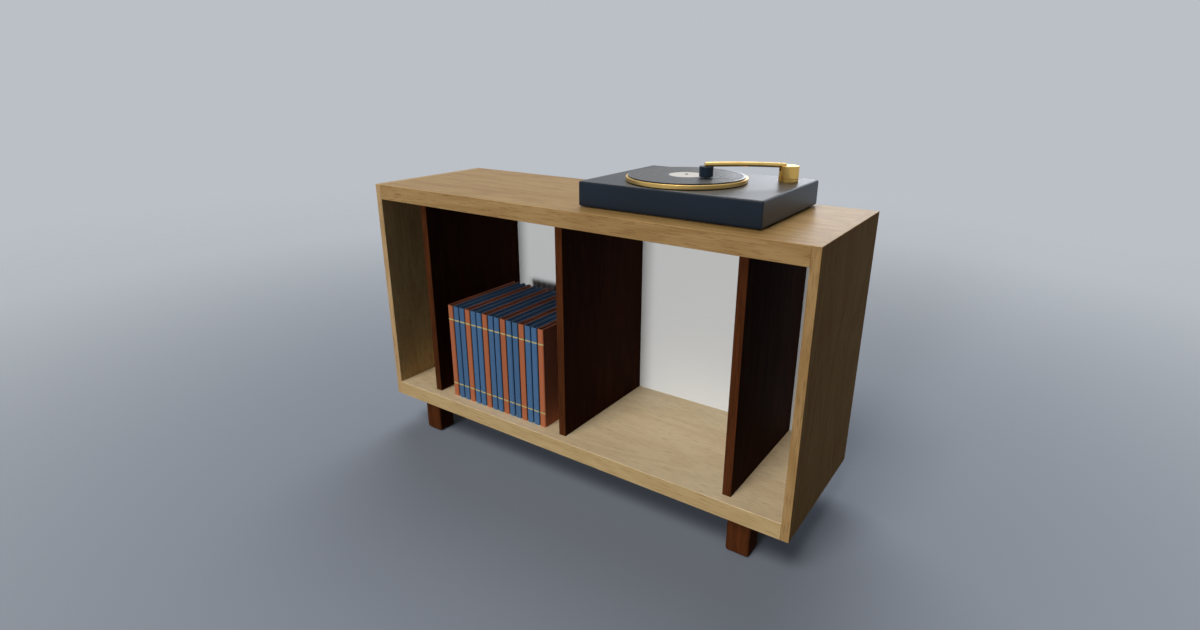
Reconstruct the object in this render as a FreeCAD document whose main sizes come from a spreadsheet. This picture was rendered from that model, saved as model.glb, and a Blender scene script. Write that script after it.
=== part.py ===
import FreeCAD, Part
import math
import os
import re

import Sketcher
from FreeCAD import Vector

# A record console: an open oak cabinet on four block feet, with three walnut dividers, a row of
# record albums in one bay and a belt-driven record player on top.
# Millimetres, +Z up, front towards -Y, origin on the floor under the middle of the cabinet.

SIZES = {
    # Carcass
    "main_bay_width": 499,
    "end_bay_width": 143,
    "clear_height": 628,
    "carcass_depth": 450,
    "side_thickness": 22,
    "board_thickness": 46,
    "divider_thickness": 24,
    "divider_setback": 30,
    "groove_depth": 8,
    "groove_fit": 0.1,
    "back_thickness": 9,
    "back_lap": 10,
    "back_fit": 0.5,
    "board_round": 1.5,
    # Dowels that join the boards to the sides
    "dowel_diameter": 10,
    "dowel_in_side": 13,
    "dowel_in_board": 30,
    "dowel_margin": 55,
    "dowel_fit": 0.1,
    "dowel_end_room": 1,
    # Screws of the back panel
    "panel_screw_diameter": 3.5,
    "panel_screw_length": 22,
    "panel_screw_head": 7,
    "panel_screw_head_height": 2,
    "panel_screw_margin": 70,
    "screw_fit": 0.1,
    # Feet
    "foot_side": 64,
    "foot_height": 112.5,
    "foot_round": 7,
    "foot_end_inset": 106,
    "foot_edge_inset": 27.5,
    "foot_bolt_diameter": 8,
    "foot_bolt_in_foot": 45,
    "foot_bolt_in_board": 32,
    "bolt_fit": 0.1,
    "glide_diameter": 40,
    "glide_proud": 1.5,
    "glide_sunk": 2.5,
    # Record albums
    "album_thickness": 20,
    "album_gap": 4.4,
    "album_height": 313,
    "album_depth": 313,
    "album_setback": 36,
    "album_board": 2.6,
    "album_spine": 3,
    "album_leaf_inset": 3.5,
    "album_round": 2,
    # Plinth of the record player
    "deck_right_inset": 155.5,
    "deck_front_inset": 62,
    "plinth_width": 501,
    "plinth_depth": 374,
    "plinth_height": 65,
    "plinth_wall": 12,
    "plinth_top": 20,
    "plinth_round": 6,
    "base_thickness": 6,
    "base_fit": 0.3,
    "boss_diameter": 14,
    "boss_inset": 15,
    "deck_foot_height": 2,
    "deck_foot_diameter": 30,
    "deck_foot_inset": 50,
    "deck_foot_stem": 8,
    "deck_foot_stem_length": 5,
    # Machine screws inside the record player
    "deck_screw_diameter": 4,
    "deck_screw_length": 9,
    "deck_screw_head": 7,
    "deck_screw_head_height": 2.5,
    # Platter, its bearing and drive
    "platter_from_left": 224.5,
    "platter_from_front": 165,
    "platter_diameter": 312,
    "platter_rim_height": 10.5,
    "platter_rim_width": 10,
    "platter_web": 5.5,
    "platter_gap": 1,
    "platter_round": 1.2,
    "sub_platter_diameter": 152,
    "sub_platter_thickness": 8,
    "sub_platter_hub": 64,
    "well_depth": 13,
    "well_room": 3,
    "well_gap": 2,
    "bearing_diameter": 22,
    "bearing_flange": 44,
    "bearing_flange_height": 5,
    "bearing_depth": 33,
    "bearing_bottom": 4,
    "bearing_screw_circle": 33,
    "shaft_diameter": 10,
    "running_fit": 0.05,
    "rest_gap": 0.3,
    "spindle_diameter": 7.1,
    "spindle_proud": 4.2,
    "spindle_dome": 1.5,
    "mat_diameter": 296,
    "mat_thickness": 1.2,
    "record_diameter": 301,
    "record_thickness": 1.8,
    "record_hole": 7.3,
    "groove_zone_inner": 112,
    "groove_zone_outer": 294,
    "groove_zone_drop": 0.15,
    "label_diameter": 90,
    "label_thickness": 0.1,
    "motor_angle": 150,
    "motor_distance": 112,
    "motor_diameter": 50,
    "motor_height": 30,
    "motor_flange": 66,
    "motor_flange_height": 3,
    "motor_screw_circle": 58,
    "motor_shaft_diameter": 5,
    "pulley_diameter": 16,
    "pulley_flange": 20,
    "pulley_flange_height": 1.5,
    "belt_height": 5,
    "belt_thickness": 0.8,
    "belt_room": 1,
    # Tonearm
    "pivot_from_right": 55,
    "pivot_from_rear": 77,
    "column_diameter": 49.5,
    "column_height": 40,
    "column_round": 1,
    "arm_base_height": 8,
    "pivot_diameter": 12,
    "pivot_below_nut": 2,
    "nut_across": 18,
    "nut_height": 8,
    "slot_width": 13.4,
    "slot_depth": 13.5,
    "slot_behind": 8,
    "slot_roof": 1.5,
    "lift_pin_diameter": 4,
    "lift_pin_length": 40,
    "lift_pin_drop": 6,
    "block_fit": 0.4,
    "block_behind": 5,
    "block_ahead": 10,
    "block_below_pin": 5,
    "spigot_length": 15,
    "spigot_root": 1,
    "arm_angle": 222.5,
    "arm_reach": 216.2,
    "arm_diameter": 12,
    "arm_wall": 1,
    "arm_end_wall": 2,
    "arm_end_past_head": 4,
    "arm_crest_from_pivot": 190,
    "arm_crest_height": 46.3,
    "arm_bow_radius": 2700,
    "head_diameter": 35.2,
    "head_height": 25.5,
    "head_clear": 2.1,
    "head_wall": 2.5,
    "head_crown": 6,
    "head_round": 1.5,
    "cartridge_width": 15,
    "cartridge_length": 20,
    "cartridge_proud": 0.8,
    "stylus_diameter": 2.4,
    "stylus_clear": 0.4,
    # Sockets in the rear of the plinth
    "socket_height": 30,
    "socket_from_left": 72.5,
    "socket_pitch": 18,
    "socket_barrel": 8.2,
    "socket_bore": 3.2,
    "socket_length": 8,
    "socket_flange": 12,
    "socket_flange_height": 1.5,
    "socket_tail": 6,
    "inlet_from_left": 132.5,
    "inlet_flange": 13,
    "inlet_body": 11,
    "inlet_bore": 6.2,
    "inlet_bore_depth": 9,
}

DOWELS_PER_JOINT = 4
ALBUM_COUNT = 16
BEARING_SCREWS = 3
MOTOR_SCREWS = 3
ENDS = (-1, 1)

LAYOUT = {
    "inner_width": "2*end_bay_width + 2*main_bay_width + 3*divider_thickness",
    "carcass_width": "inner_width + 2*side_thickness",
    "carcass_height": "clear_height + 2*board_thickness",
    "front_edge": "-carcass_depth/2",
    "rear_edge": "carcass_depth/2",
    "panel_front": "rear_edge - back_thickness",
    "carcass_base": "foot_height + glide_proud",
    "shelf_level": "carcass_base + board_thickness",
    "ceiling_level": "shelf_level + clear_height",
    "top_level": "ceiling_level + board_thickness",
    "divider_pitch": "main_bay_width + divider_thickness",
    "divider_front": "front_edge + divider_setback",
    "groove_width": "divider_thickness + 2*groove_fit",
    "dowel_step": f"(carcass_depth - 2*dowel_margin)/{DOWELS_PER_JOINT - 1}",
    "foot_x": "carcass_width/2 - foot_end_inset - foot_side/2",
    "foot_y": "carcass_depth/2 - foot_edge_inset - foot_side/2",
    "panel_screw_low": "shelf_level + panel_screw_margin",
    "panel_screw_high": "ceiling_level - panel_screw_margin",
    "rebate_middle": "inner_width/2 + back_lap/2",
    "screw_in_wood": "panel_screw_length - back_thickness + panel_screw_head_height",
    "album_pitch": "album_thickness + album_gap",
    "album_row": f"{ALBUM_COUNT}*album_pitch - album_gap",
    "album_bay_middle": "-divider_pitch/2",
    "album_front": "front_edge + album_setback",
    "plinth_x": "carcass_width/2 - deck_right_inset - plinth_width/2",
    "plinth_y": "front_edge + deck_front_inset + plinth_depth/2",
    "plinth_level": "top_level + deck_foot_height",
    "deck_level": "plinth_level + plinth_height",
    "roof_level": "deck_level - plinth_top",
    "inside_height": "plinth_height - plinth_top",
    "boss_x": "plinth_width/2 - plinth_wall - boss_inset",
    "boss_y": "plinth_depth/2 - plinth_wall - boss_inset",
    "deck_foot_x": "plinth_width/2 - deck_foot_inset",
    "deck_foot_y": "plinth_depth/2 - deck_foot_inset",
    "platter_x": "plinth_x - plinth_width/2 + platter_from_left",
    "platter_y": "plinth_y - plinth_depth/2 + platter_from_front",
    "motor_x": "platter_x + motor_distance*cos(motor_angle)",
    "motor_y": "platter_y + motor_distance*sin(motor_angle)",
    "well_level": "deck_level - well_depth",
    "sub_platter_level": "well_level + well_gap",
    "sub_platter_top": "sub_platter_level + sub_platter_thickness",
    "platter_level": "deck_level + platter_gap",
    "platter_top": "platter_level + platter_rim_height",
    "web_level": "platter_top - platter_web",
    "mat_top": "platter_top + mat_thickness",
    "record_top": "mat_top + record_thickness",
    "label_top": "record_top + label_thickness",
    "spindle_top": "label_top + spindle_proud",
    "bearing_low": "roof_level - bearing_depth",
    "shaft_low": "bearing_low + bearing_bottom + rest_gap",
    "belt_inner_big": "sub_platter_diameter/2 + rest_gap",
    "belt_inner_small": "pulley_diameter/2 + rest_gap",
    "belt_level": "sub_platter_level + (sub_platter_thickness - belt_height)/2",
    "pulley_level": "belt_level - belt_room/2 - pulley_flange_height",
    "pulley_height": "belt_height + belt_room + 2*pulley_flange_height",
    "pivot_x": "plinth_x + plinth_width/2 - pivot_from_right",
    "pivot_y": "plinth_y + plinth_depth/2 - pivot_from_rear",
    "column_top": "deck_level + column_height",
    "arm_base_top": "deck_level + arm_base_height",
    "housing_low": "arm_base_top + rest_gap",
    "slot_floor": "column_top - slot_depth",
    "pivot_bore_top": "slot_floor - slot_roof",
    "pivot_top": "pivot_bore_top - rest_gap",
    "lift_level": "column_top - lift_pin_drop",
    "head_x": "pivot_x + arm_reach*cos(arm_angle)",
    "head_y": "pivot_y + arm_reach*sin(arm_angle)",
    "head_low": "label_top + head_clear",
    "head_top": "head_low + head_height",
    "arm_crest_level": "deck_level + arm_crest_height",
    "arm_tail": "block_ahead + rest_gap",
    "arm_nose": "arm_reach + arm_end_past_head",
    "spigot_middle": "block_ahead + spigot_length/2",
    "spigot_slope": "asin((arm_crest_from_pivot - spigot_middle)/arm_bow_radius)",
    "spigot_level": "arm_crest_level - arm_bow_radius*(1 - cos(spigot_slope))",
    "tail_angle": "asin((arm_crest_from_pivot - arm_tail)/arm_bow_radius)",
    "nose_angle": "asin((arm_nose - arm_crest_from_pivot)/arm_bow_radius)",
    "saddle_level": "arm_crest_level - arm_bow_radius*(1 - cos(nose_angle))",
    "bore_nose_angle": "asin((arm_nose - arm_end_wall - arm_crest_from_pivot)/arm_bow_radius)",
    "cartridge_low": "head_low - cartridge_proud",
    "stylus_low": "record_top - groove_zone_drop + stylus_clear",
    "plinth_rear": "plinth_y + plinth_depth/2",
}

doc = FreeCAD.newDocument("record_console")
HOME = {}
nodes = []


def fill_sheet(name, cells):
    """Put each named value on a sheet, one row each, under its own alias."""
    sheet = doc.addObject("Spreadsheet::Sheet", name)
    for row, (alias, value) in enumerate(cells.items(), 1):
        HOME[alias] = name + "."
        sheet.set(f"A{row}", alias)
        sheet.set(f"B{row}", value)
        sheet.setAlias(f"B{row}", alias)
    doc.recompute()
    return sheet


def formula(words):
    """Point each plain name in a formula at the sheet that holds it."""
    return re.sub(r"[a-z]\w*", lambda found: HOME.get(found[0], "") + found[0], words)


sizes = fill_sheet("Sizes", {name: str(value) for name, value in SIZES.items()})
HOME.update({name: "Layout." for name in LAYOUT})
layout = fill_sheet("Layout", {name: "=" + formula(words) for name, words in LAYOUT.items()})


def number(words):
    return float(layout.evalExpression(formula(words)))


def bind(thing, path, words):
    thing.setExpression(path, formula(words))


def new_body(label, x="0", y="0", z="0", turn="0"):
    """A named piece, standing at x, y, z and turned about the upright axis."""
    body = doc.addObject("PartDesign::Body", label)
    body.Label = label
    bind(body, "Placement.Base.x", x)
    bind(body, "Placement.Base.y", y)
    bind(body, "Placement.Base.z", z)
    bind(body, "Placement.Rotation.Angle", turn)
    nodes.append(body)
    return body


def new_sketch(body, plane, offset="0"):
    """A sketch on a plane of the piece: XY at a height, XZ at a depth or YZ at a width."""
    sketch = body.newObject("Sketcher::SketchObject", "Sketch")
    plane_feature = [item for item in body.Origin.OriginFeatures if item.Role == plane + "_Plane"][0]
    sketch.AttachmentSupport = [(plane_feature, "")]
    sketch.MapMode = "FlatFace"
    bind(sketch, "AttachmentOffset.Base.z", f"-({offset})" if plane == "XZ" else offset)
    return sketch


def constrain(sketch, words, kind, *where):
    index = sketch.addConstraint(Sketcher.Constraint(kind, *where, number(words)))
    sketch.setExpression(f"Constraints[{index}]", formula(words))


def pin_point(sketch, geometry, point, across, along):
    constrain(sketch, across, "DistanceX", -1, 1, geometry, point)
    constrain(sketch, along, "DistanceY", -1, 1, geometry, point)


def polygon(sketch, points):
    """A closed outline of straight lines through points given as pairs of formulas."""
    first = sketch.GeometryCount
    corners = [Vector(number(across), number(along), 0) for across, along in points]
    for start, end in zip(corners, corners[1:] + corners[:1]):
        sketch.addGeometry(Part.LineSegment(start, end))
    for index, (across, along) in enumerate(points):
        following = first + (index + 1) % len(points)
        sketch.addConstraint(Sketcher.Constraint("Coincident", first + index, 2, following, 1))
        pin_point(sketch, first + index, 1, across, along)


def rectangle(sketch, left, low, right, high):
    polygon(sketch, [(left, low), (right, low), (right, high), (left, high)])


def circle(sketch, across, along, radius):
    middle = Vector(number(across), number(along), 0)
    index = sketch.addGeometry(Part.Circle(middle, Vector(0, 0, 1), number(radius)))
    pin_point(sketch, index, 3, across, along)
    constrain(sketch, radius, "Radius", index)


def belt_loop(sketch, middle, big, far_middle, small):
    """A big arc and a small one, joined by the two straight runs that touch both."""
    start = Vector(number(middle[0]), number(middle[1]), 0)
    end = Vector(number(far_middle[0]), number(far_middle[1]), 0)
    run = end - start
    heading = math.atan2(run.y, run.x)
    half_wrap = math.acos((number(big) - number(small)) / run.Length)
    up = Vector(0, 0, 1)
    big_circle = Part.Circle(start, up, number(big))
    small_circle = Part.Circle(end, up, number(small))
    big_arc = Part.ArcOfCircle(big_circle, heading + half_wrap, heading - half_wrap + 2 * math.pi)
    small_arc = Part.ArcOfCircle(small_circle, heading - half_wrap, heading + half_wrap)
    outline = [
        big_arc,
        Part.LineSegment(big_arc.EndPoint, small_arc.StartPoint),
        small_arc,
        Part.LineSegment(small_arc.EndPoint, big_arc.StartPoint),
    ]
    first = sketch.addGeometry(outline)[0]
    for index in range(len(outline)):
        following = first + (index + 1) % len(outline)
        sketch.addConstraint(Sketcher.Constraint("Tangent", first + index, 2, following, 1))
    pin_point(sketch, first, 3, *middle)
    pin_point(sketch, first + 2, 3, *far_middle)
    constrain(sketch, big, "Radius", first)
    constrain(sketch, small, "Radius", first + 2)


def pad(body, sketch, length, back=False):
    feature = body.newObject("PartDesign::Pad", "Pad")
    feature.Profile = sketch
    feature.Reversed = back
    bind(feature, "Length", length)


def cut_shows(body, volume_before):
    doc.recompute()
    if body.Shape.Volume >= volume_before:
        raise ValueError(f"a cut in {body.Label} removes nothing")


def pocket(body, sketch, depth, forward=False):
    """Cut into the piece behind the sketch, or in front of it."""
    doc.recompute()
    volume_before = body.Shape.Volume
    feature = body.newObject("PartDesign::Pocket", "Pocket")
    feature.Profile = sketch
    feature.Reversed = forward
    bind(feature, "Length", depth)
    cut_shows(body, volume_before)


def round_edges(body, radius, chosen):
    """Round the edges that the test picks by their middle point and direction."""
    doc.recompute()
    base = body.Tip
    names = []
    for index, edge in enumerate(base.Shape.Edges, 1):
        middle = edge.valueAt((edge.FirstParameter + edge.LastParameter) / 2)
        heading = edge.tangentAt(edge.FirstParameter)
        if chosen(middle, heading):
            names.append(f"Edge{index}")
    feature = body.newObject("PartDesign::Fillet", "Fillet")
    feature.Base = (base, names)
    bind(feature, "Radius", radius)


def near(value, words):
    return abs(value - number(words)) < 0.01


def turned(label, profile, x="0", y="0", turn="0"):
    """A piece turned on an upright axis from a profile of radius and height."""
    body = new_body(label, x, y, "0", turn)
    sketch = new_sketch(body, "XZ")
    polygon(sketch, profile)
    feature = body.newObject("PartDesign::Revolution", "Revolution")
    feature.Profile = sketch
    feature.ReferenceAxis = (sketch, ["V_Axis"])
    return body


# Carcass: top and bottom boards between two full-height sides


def dowel_depths():
    return [f"front_edge + dowel_margin + {index}*dowel_step" for index in range(DOWELS_PER_JOINT)]


def divider_places():
    return ["-divider_pitch", "0", "divider_pitch"]


def foot_places():
    return [(f"{side}*foot_x", f"{edge}*foot_y") for side in ENDS for edge in ENDS]


def long_board(label, level, inner_face, cuts_up):
    """A board with a groove for each divider, a rebate for the back and dowel bores in its ends."""
    body = new_body(label, z=level)
    outline = new_sketch(body, "XY")
    rectangle(outline, "-inner_width/2", "front_edge", "inner_width/2", "rear_edge")
    pad(body, outline, "board_thickness")
    round_edges(body, "board_round", lambda at, way: near(at.y, "front_edge") and abs(way.x) > 0.9)
    grooves = new_sketch(body, "XY", inner_face)
    for place in divider_places():
        rectangle(grooves, f"{place} - groove_width/2", "divider_front - groove_fit",
                  f"{place} + groove_width/2", "panel_front")
    pocket(body, grooves, "groove_depth", cuts_up)
    rebate = new_sketch(body, "XY", inner_face)
    rectangle(rebate, "-inner_width/2", "panel_front", "inner_width/2", "rear_edge")
    pocket(body, rebate, "back_lap", cuts_up)
    for end in ENDS:
        bores = new_sketch(body, "YZ", f"{end}*inner_width/2")
        for depth in dowel_depths():
            circle(bores, depth, "board_thickness/2", "dowel_diameter/2 + dowel_fit")
        pocket(body, bores, "dowel_in_board + dowel_end_room", end < 0)
    return body


long_board("top_board", "ceiling_level", "0", True)
bottom_board = long_board("bottom_board", "carcass_base", "board_thickness", False)
foot_bores = new_sketch(bottom_board, "XY")
for foot_place in foot_places():
    circle(foot_bores, *foot_place, "foot_bolt_diameter/2 + bolt_fit")
pocket(bottom_board, foot_bores, "foot_bolt_in_board + dowel_end_room", True)


def side_panel(label, end):
    """A full-height side with a stopped rebate for the back, dowel bores and screw holes."""
    body = new_body(label, x=f"{end}*(inner_width + side_thickness)/2", z="carcass_base")
    inner_face = f"{-end}*side_thickness/2"
    outline = new_sketch(body, "XY")
    rectangle(outline, "-side_thickness/2", "front_edge", "side_thickness/2", "rear_edge")
    pad(body, outline, "carcass_height")
    round_edges(body, "board_round", lambda at, way:
                near(at.y, "front_edge") or near(at.x, f"{end}*side_thickness/2"))
    rebate = new_sketch(body, "YZ", inner_face)
    rectangle(rebate, "panel_front", "board_thickness - back_lap",
              "rear_edge", "board_thickness + clear_height + back_lap")
    pocket(body, rebate, "back_lap", end > 0)
    bores = new_sketch(body, "YZ", inner_face)
    for depth in dowel_depths():
        circle(bores, depth, "board_thickness/2", "dowel_diameter/2 + dowel_fit")
        circle(bores, depth, "carcass_height - board_thickness/2", "dowel_diameter/2 + dowel_fit")
    pocket(body, bores, "dowel_in_side + dowel_end_room", end > 0)
    holes = new_sketch(body, "XZ", "panel_front")
    for level in ("panel_screw_low", "panel_screw_high"):
        circle(holes, f"{inner_face} + {end}*back_lap/2", f"{level} - carcass_base",
               "panel_screw_diameter/2 + screw_fit")
    pocket(body, holes, "screw_in_wood", True)


side_panel("left_side", -1)
side_panel("right_side", 1)

dowels = new_body("carcass_dowels")
for end in ENDS:
    dowel_ends = new_sketch(dowels, "YZ", f"{end}*(inner_width/2 - dowel_in_board)")
    for depth in dowel_depths():
        circle(dowel_ends, depth, "carcass_base + board_thickness/2", "dowel_diameter/2")
        circle(dowel_ends, depth, "top_level - board_thickness/2", "dowel_diameter/2")
    pad(dowels, dowel_ends, "dowel_in_board + dowel_in_side", end < 0)


def divider(label, place):
    """An upright board, housed in grooves above and below, with two screw holes in its rear edge."""
    body = new_body(label, x=place, z="shelf_level - groove_depth")
    outline = new_sketch(body, "XY")
    rectangle(outline, "-divider_thickness/2", "divider_front", "divider_thickness/2", "panel_front")
    pad(body, outline, "clear_height + 2*groove_depth")
    round_edges(body, "board_round", lambda at, way: near(at.y, "divider_front") and abs(way.z) > 0.9)
    holes = new_sketch(body, "XZ", "panel_front")
    for level in ("panel_screw_low", "panel_screw_high"):
        circle(holes, "0", f"{level} - shelf_level + groove_depth", "panel_screw_diameter/2 + screw_fit")
    pocket(body, holes, "screw_in_wood", True)


for divider_name, divider_place in zip(("divider_left", "divider_middle", "divider_right"), divider_places()):
    divider(divider_name, divider_place)


def panel_screw_places():
    across = ["-rebate_middle", *divider_places(), "rebate_middle"]
    return [(place, level) for place in across for level in ("panel_screw_low", "panel_screw_high")]


back_panel = new_body("back_panel")
panel_outline = new_sketch(back_panel, "XZ", "panel_front")
rectangle(panel_outline, "-inner_width/2 - back_lap + back_fit", "shelf_level - back_lap + back_fit",
          "inner_width/2 + back_lap - back_fit", "ceiling_level + back_lap - back_fit")
pad(back_panel, panel_outline, "back_thickness", True)
panel_holes = new_sketch(back_panel, "XZ", "rear_edge")
panel_sinks = new_sketch(back_panel, "XZ", "rear_edge")
for screw_place in panel_screw_places():
    circle(panel_holes, *screw_place, "panel_screw_diameter/2 + screw_fit")
    circle(panel_sinks, *screw_place, "panel_screw_head/2 + screw_fit")
pocket(back_panel, panel_holes, "back_thickness", True)
pocket(back_panel, panel_sinks, "panel_screw_head_height + screw_fit", True)

panel_screws = new_body("back_panel_screws")
screw_heads = new_sketch(panel_screws, "XZ", "rear_edge - screw_fit")
screw_shanks = new_sketch(panel_screws, "XZ", "rear_edge - screw_fit - panel_screw_head_height")
for screw_place in panel_screw_places():
    circle(screw_heads, *screw_place, "panel_screw_head/2")
    circle(screw_shanks, *screw_place, "panel_screw_diameter/2")
pad(panel_screws, screw_heads, "panel_screw_head_height")
pad(panel_screws, screw_shanks, "panel_screw_length - panel_screw_head_height")


# Feet: rounded walnut blocks on hanger bolts, each with a glide let into its underside


def foot(label, side, edge):
    body = new_body(label, f"{side}*foot_x", f"{edge}*foot_y", "glide_proud")
    outline = new_sketch(body, "XY")
    rectangle(outline, "-foot_side/2", "-foot_side/2", "foot_side/2", "foot_side/2")
    pad(body, outline, "foot_height")
    round_edges(body, "foot_round", lambda at, way: abs(way.z) > 0.9 or near(at.z, "0"))
    bolt_bore = new_sketch(body, "XY", "foot_height")
    circle(bolt_bore, "0", "0", "foot_bolt_diameter/2 + bolt_fit")
    pocket(body, bolt_bore, "foot_bolt_in_foot + dowel_end_room")
    glide_seat = new_sketch(body, "XY")
    circle(glide_seat, "0", "0", "glide_diameter/2 + bolt_fit")
    pocket(body, glide_seat, "glide_sunk", True)


for edge_name, edge in (("front", -1), ("rear", 1)):
    for side_name, side in (("left", -1), ("right", 1)):
        foot(f"foot_{edge_name}_{side_name}", side, edge)

foot_bolts = new_body("foot_bolts")
bolt_ends = new_sketch(foot_bolts, "XY", "carcass_base - foot_bolt_in_foot")
glides = new_body("floor_glides")
glide_faces = new_sketch(glides, "XY")
for foot_place in foot_places():
    circle(bolt_ends, *foot_place, "foot_bolt_diameter/2")
    circle(glide_faces, *foot_place, "glide_diameter/2")
pad(foot_bolts, bolt_ends, "foot_bolt_in_foot + foot_bolt_in_board")
pad(glides, glide_faces, "glide_proud + glide_sunk")


# Record albums: a stiff cover folded round a block of sleeves, spine to the front


def album(label, left):
    body = new_body(label, left, "album_front", "shelf_level")
    cover = new_sketch(body, "XY")
    rectangle(cover, "0", "0", "album_thickness", "album_depth")
    pad(body, cover, "album_height")
    round_edges(body, "album_round", lambda at, way: near(at.y, "0") and abs(way.z) > 0.9)
    for level, upwards in (("album_height", False), ("0", True)):
        leaf_edge = new_sketch(body, "XY", level)
        rectangle(leaf_edge, "album_board", "album_spine", "album_thickness - album_board", "album_depth")
        pocket(body, leaf_edge, "album_leaf_inset", upwards)
    fore_edge = new_sketch(body, "XZ", "album_depth")
    rectangle(fore_edge, "album_board", "0", "album_thickness - album_board", "album_height")
    pocket(body, fore_edge, "album_leaf_inset", True)


for index in range(ALBUM_COUNT):
    album(f"album_{index + 1:02d}", f"album_bay_middle - album_row/2 + {index}*album_pitch")


# Plinth: a rounded lacquered box, open below, with a well for the drive under the platter


def around(middle, circle_size, count, start=90):
    """Places evenly spaced on a circle about a middle point."""
    step = 360 / count
    return [(f"{middle[0]} + {circle_size}/2*cos({start + index * step})",
             f"{middle[1]} + {circle_size}/2*sin({start + index * step})") for index in range(count)]


def corner_places(across, along):
    return [(f"plinth_x + {side}*{across}", f"plinth_y + {edge}*{along}") for side in ENDS for edge in ENDS]


PLATTER = ("platter_x", "platter_y")
MOTOR = ("motor_x", "motor_y")
PIVOT = ("pivot_x", "pivot_y")
BOSSES = corner_places("boss_x", "boss_y")
BEARING_HOLES = around(PLATTER, "bearing_screw_circle", BEARING_SCREWS)
MOTOR_HOLES = around(MOTOR, "motor_screw_circle", MOTOR_SCREWS)
SOCKETS = [f"plinth_x - plinth_width/2 + socket_from_left + {index}*socket_pitch" for index in range(2)]
INLET = "plinth_x - plinth_width/2 + inlet_from_left"
SOCKET_LEVEL = "plinth_level + socket_height"

plinth = new_body("plinth_body")
plinth_outline = new_sketch(plinth, "XY", "plinth_level")
rectangle(plinth_outline, "plinth_x - plinth_width/2", "plinth_y - plinth_depth/2",
          "plinth_x + plinth_width/2", "plinth_y + plinth_depth/2")
pad(plinth, plinth_outline, "plinth_height")
round_edges(plinth, "plinth_round", lambda at, way: True)
plinth_inside = new_sketch(plinth, "XY", "plinth_level")
rectangle(plinth_inside, "plinth_x - plinth_width/2 + plinth_wall", "plinth_y - plinth_depth/2 + plinth_wall",
          "plinth_x + plinth_width/2 - plinth_wall", "plinth_y + plinth_depth/2 - plinth_wall")
pocket(plinth, plinth_inside, "inside_height", True)
bosses = new_sketch(plinth, "XY", "plinth_level + base_thickness")
boss_holes = new_sketch(plinth, "XY", "plinth_level + base_thickness")
for boss_place in BOSSES:
    circle(bosses, *boss_place, "boss_diameter/2")
    circle(boss_holes, *boss_place, "deck_screw_diameter/2 + screw_fit")
pad(plinth, bosses, "inside_height - base_thickness")
pocket(plinth, boss_holes, "deck_screw_length", True)
well = new_sketch(plinth, "XY", "deck_level")
belt_loop(well, PLATTER, "sub_platter_diameter/2 + well_room", MOTOR, "pulley_flange/2 + well_room")
pocket(plinth, well, "well_depth")
roof_holes = new_sketch(plinth, "XY", "roof_level")
circle(roof_holes, *PLATTER, "bearing_diameter/2 + screw_fit")
circle(roof_holes, *MOTOR, "motor_shaft_diameter/2 + well_room")
circle(roof_holes, *PIVOT, "pivot_diameter/2 + bolt_fit")
pocket(plinth, roof_holes, "plinth_top", True)
roof_screw_holes = new_sketch(plinth, "XY", "roof_level")
for hole_place in BEARING_HOLES + MOTOR_HOLES:
    circle(roof_screw_holes, *hole_place, "deck_screw_diameter/2 + screw_fit")
pocket(plinth, roof_screw_holes, "deck_screw_length - motor_flange_height", True)
rear_holes = new_sketch(plinth, "XZ", "plinth_rear")
for socket_place in SOCKETS:
    circle(rear_holes, socket_place, SOCKET_LEVEL, "socket_tail/2 + screw_fit")
circle(rear_holes, INLET, SOCKET_LEVEL, "inlet_body/2 + screw_fit")
pocket(plinth, rear_holes, "plinth_wall", True)

plinth_base = new_body("plinth_base")
base_outline = new_sketch(plinth_base, "XY", "plinth_level")
rectangle(base_outline, "plinth_x - plinth_width/2 + plinth_wall + base_fit",
          "plinth_y - plinth_depth/2 + plinth_wall + base_fit",
          "plinth_x + plinth_width/2 - plinth_wall - base_fit",
          "plinth_y + plinth_depth/2 - plinth_wall - base_fit")
pad(plinth_base, base_outline, "base_thickness")
base_holes = new_sketch(plinth_base, "XY", "plinth_level")
base_sinks = new_sketch(plinth_base, "XY", "plinth_level")
for boss_place in BOSSES:
    circle(base_holes, *boss_place, "deck_screw_diameter/2 + screw_fit")
    circle(base_sinks, *boss_place, "deck_screw_head/2 + screw_fit")
pocket(plinth_base, base_holes, "base_thickness", True)
pocket(plinth_base, base_sinks, "deck_screw_head_height + screw_fit", True)
stem_holes = new_sketch(plinth_base, "XY", "plinth_level")

deck_feet = new_body("plinth_feet")
foot_pads = new_sketch(deck_feet, "XY", "top_level")
foot_stems = new_sketch(deck_feet, "XY", "plinth_level")
for pad_place in corner_places("deck_foot_x", "deck_foot_y"):
    circle(stem_holes, *pad_place, "deck_foot_stem/2 + screw_fit")
    circle(foot_pads, *pad_place, "deck_foot_diameter/2")
    circle(foot_stems, *pad_place, "deck_foot_stem/2")
pocket(plinth_base, stem_holes, "base_thickness", True)
pad(deck_feet, foot_pads, "deck_foot_height")
pad(deck_feet, foot_stems, "deck_foot_stem_length")

deck_screws = new_body("deck_screws")
SCREW_SEATS = (
    (BOSSES, "plinth_level + deck_screw_head_height + screw_fit"),
    (BEARING_HOLES, "roof_level - bearing_flange_height"),
    (MOTOR_HOLES, "roof_level - motor_flange_height"),
)
for screw_places, seat in SCREW_SEATS:
    heads = new_sketch(deck_screws, "XY", seat)
    shanks = new_sketch(deck_screws, "XY", seat)
    for screw_place in screw_places:
        circle(heads, *screw_place, "deck_screw_head/2")
        circle(shanks, *screw_place, "deck_screw_diameter/2")
    pad(deck_screws, heads, "deck_screw_head_height", True)
    pad(deck_screws, shanks, "deck_screw_length")

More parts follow.
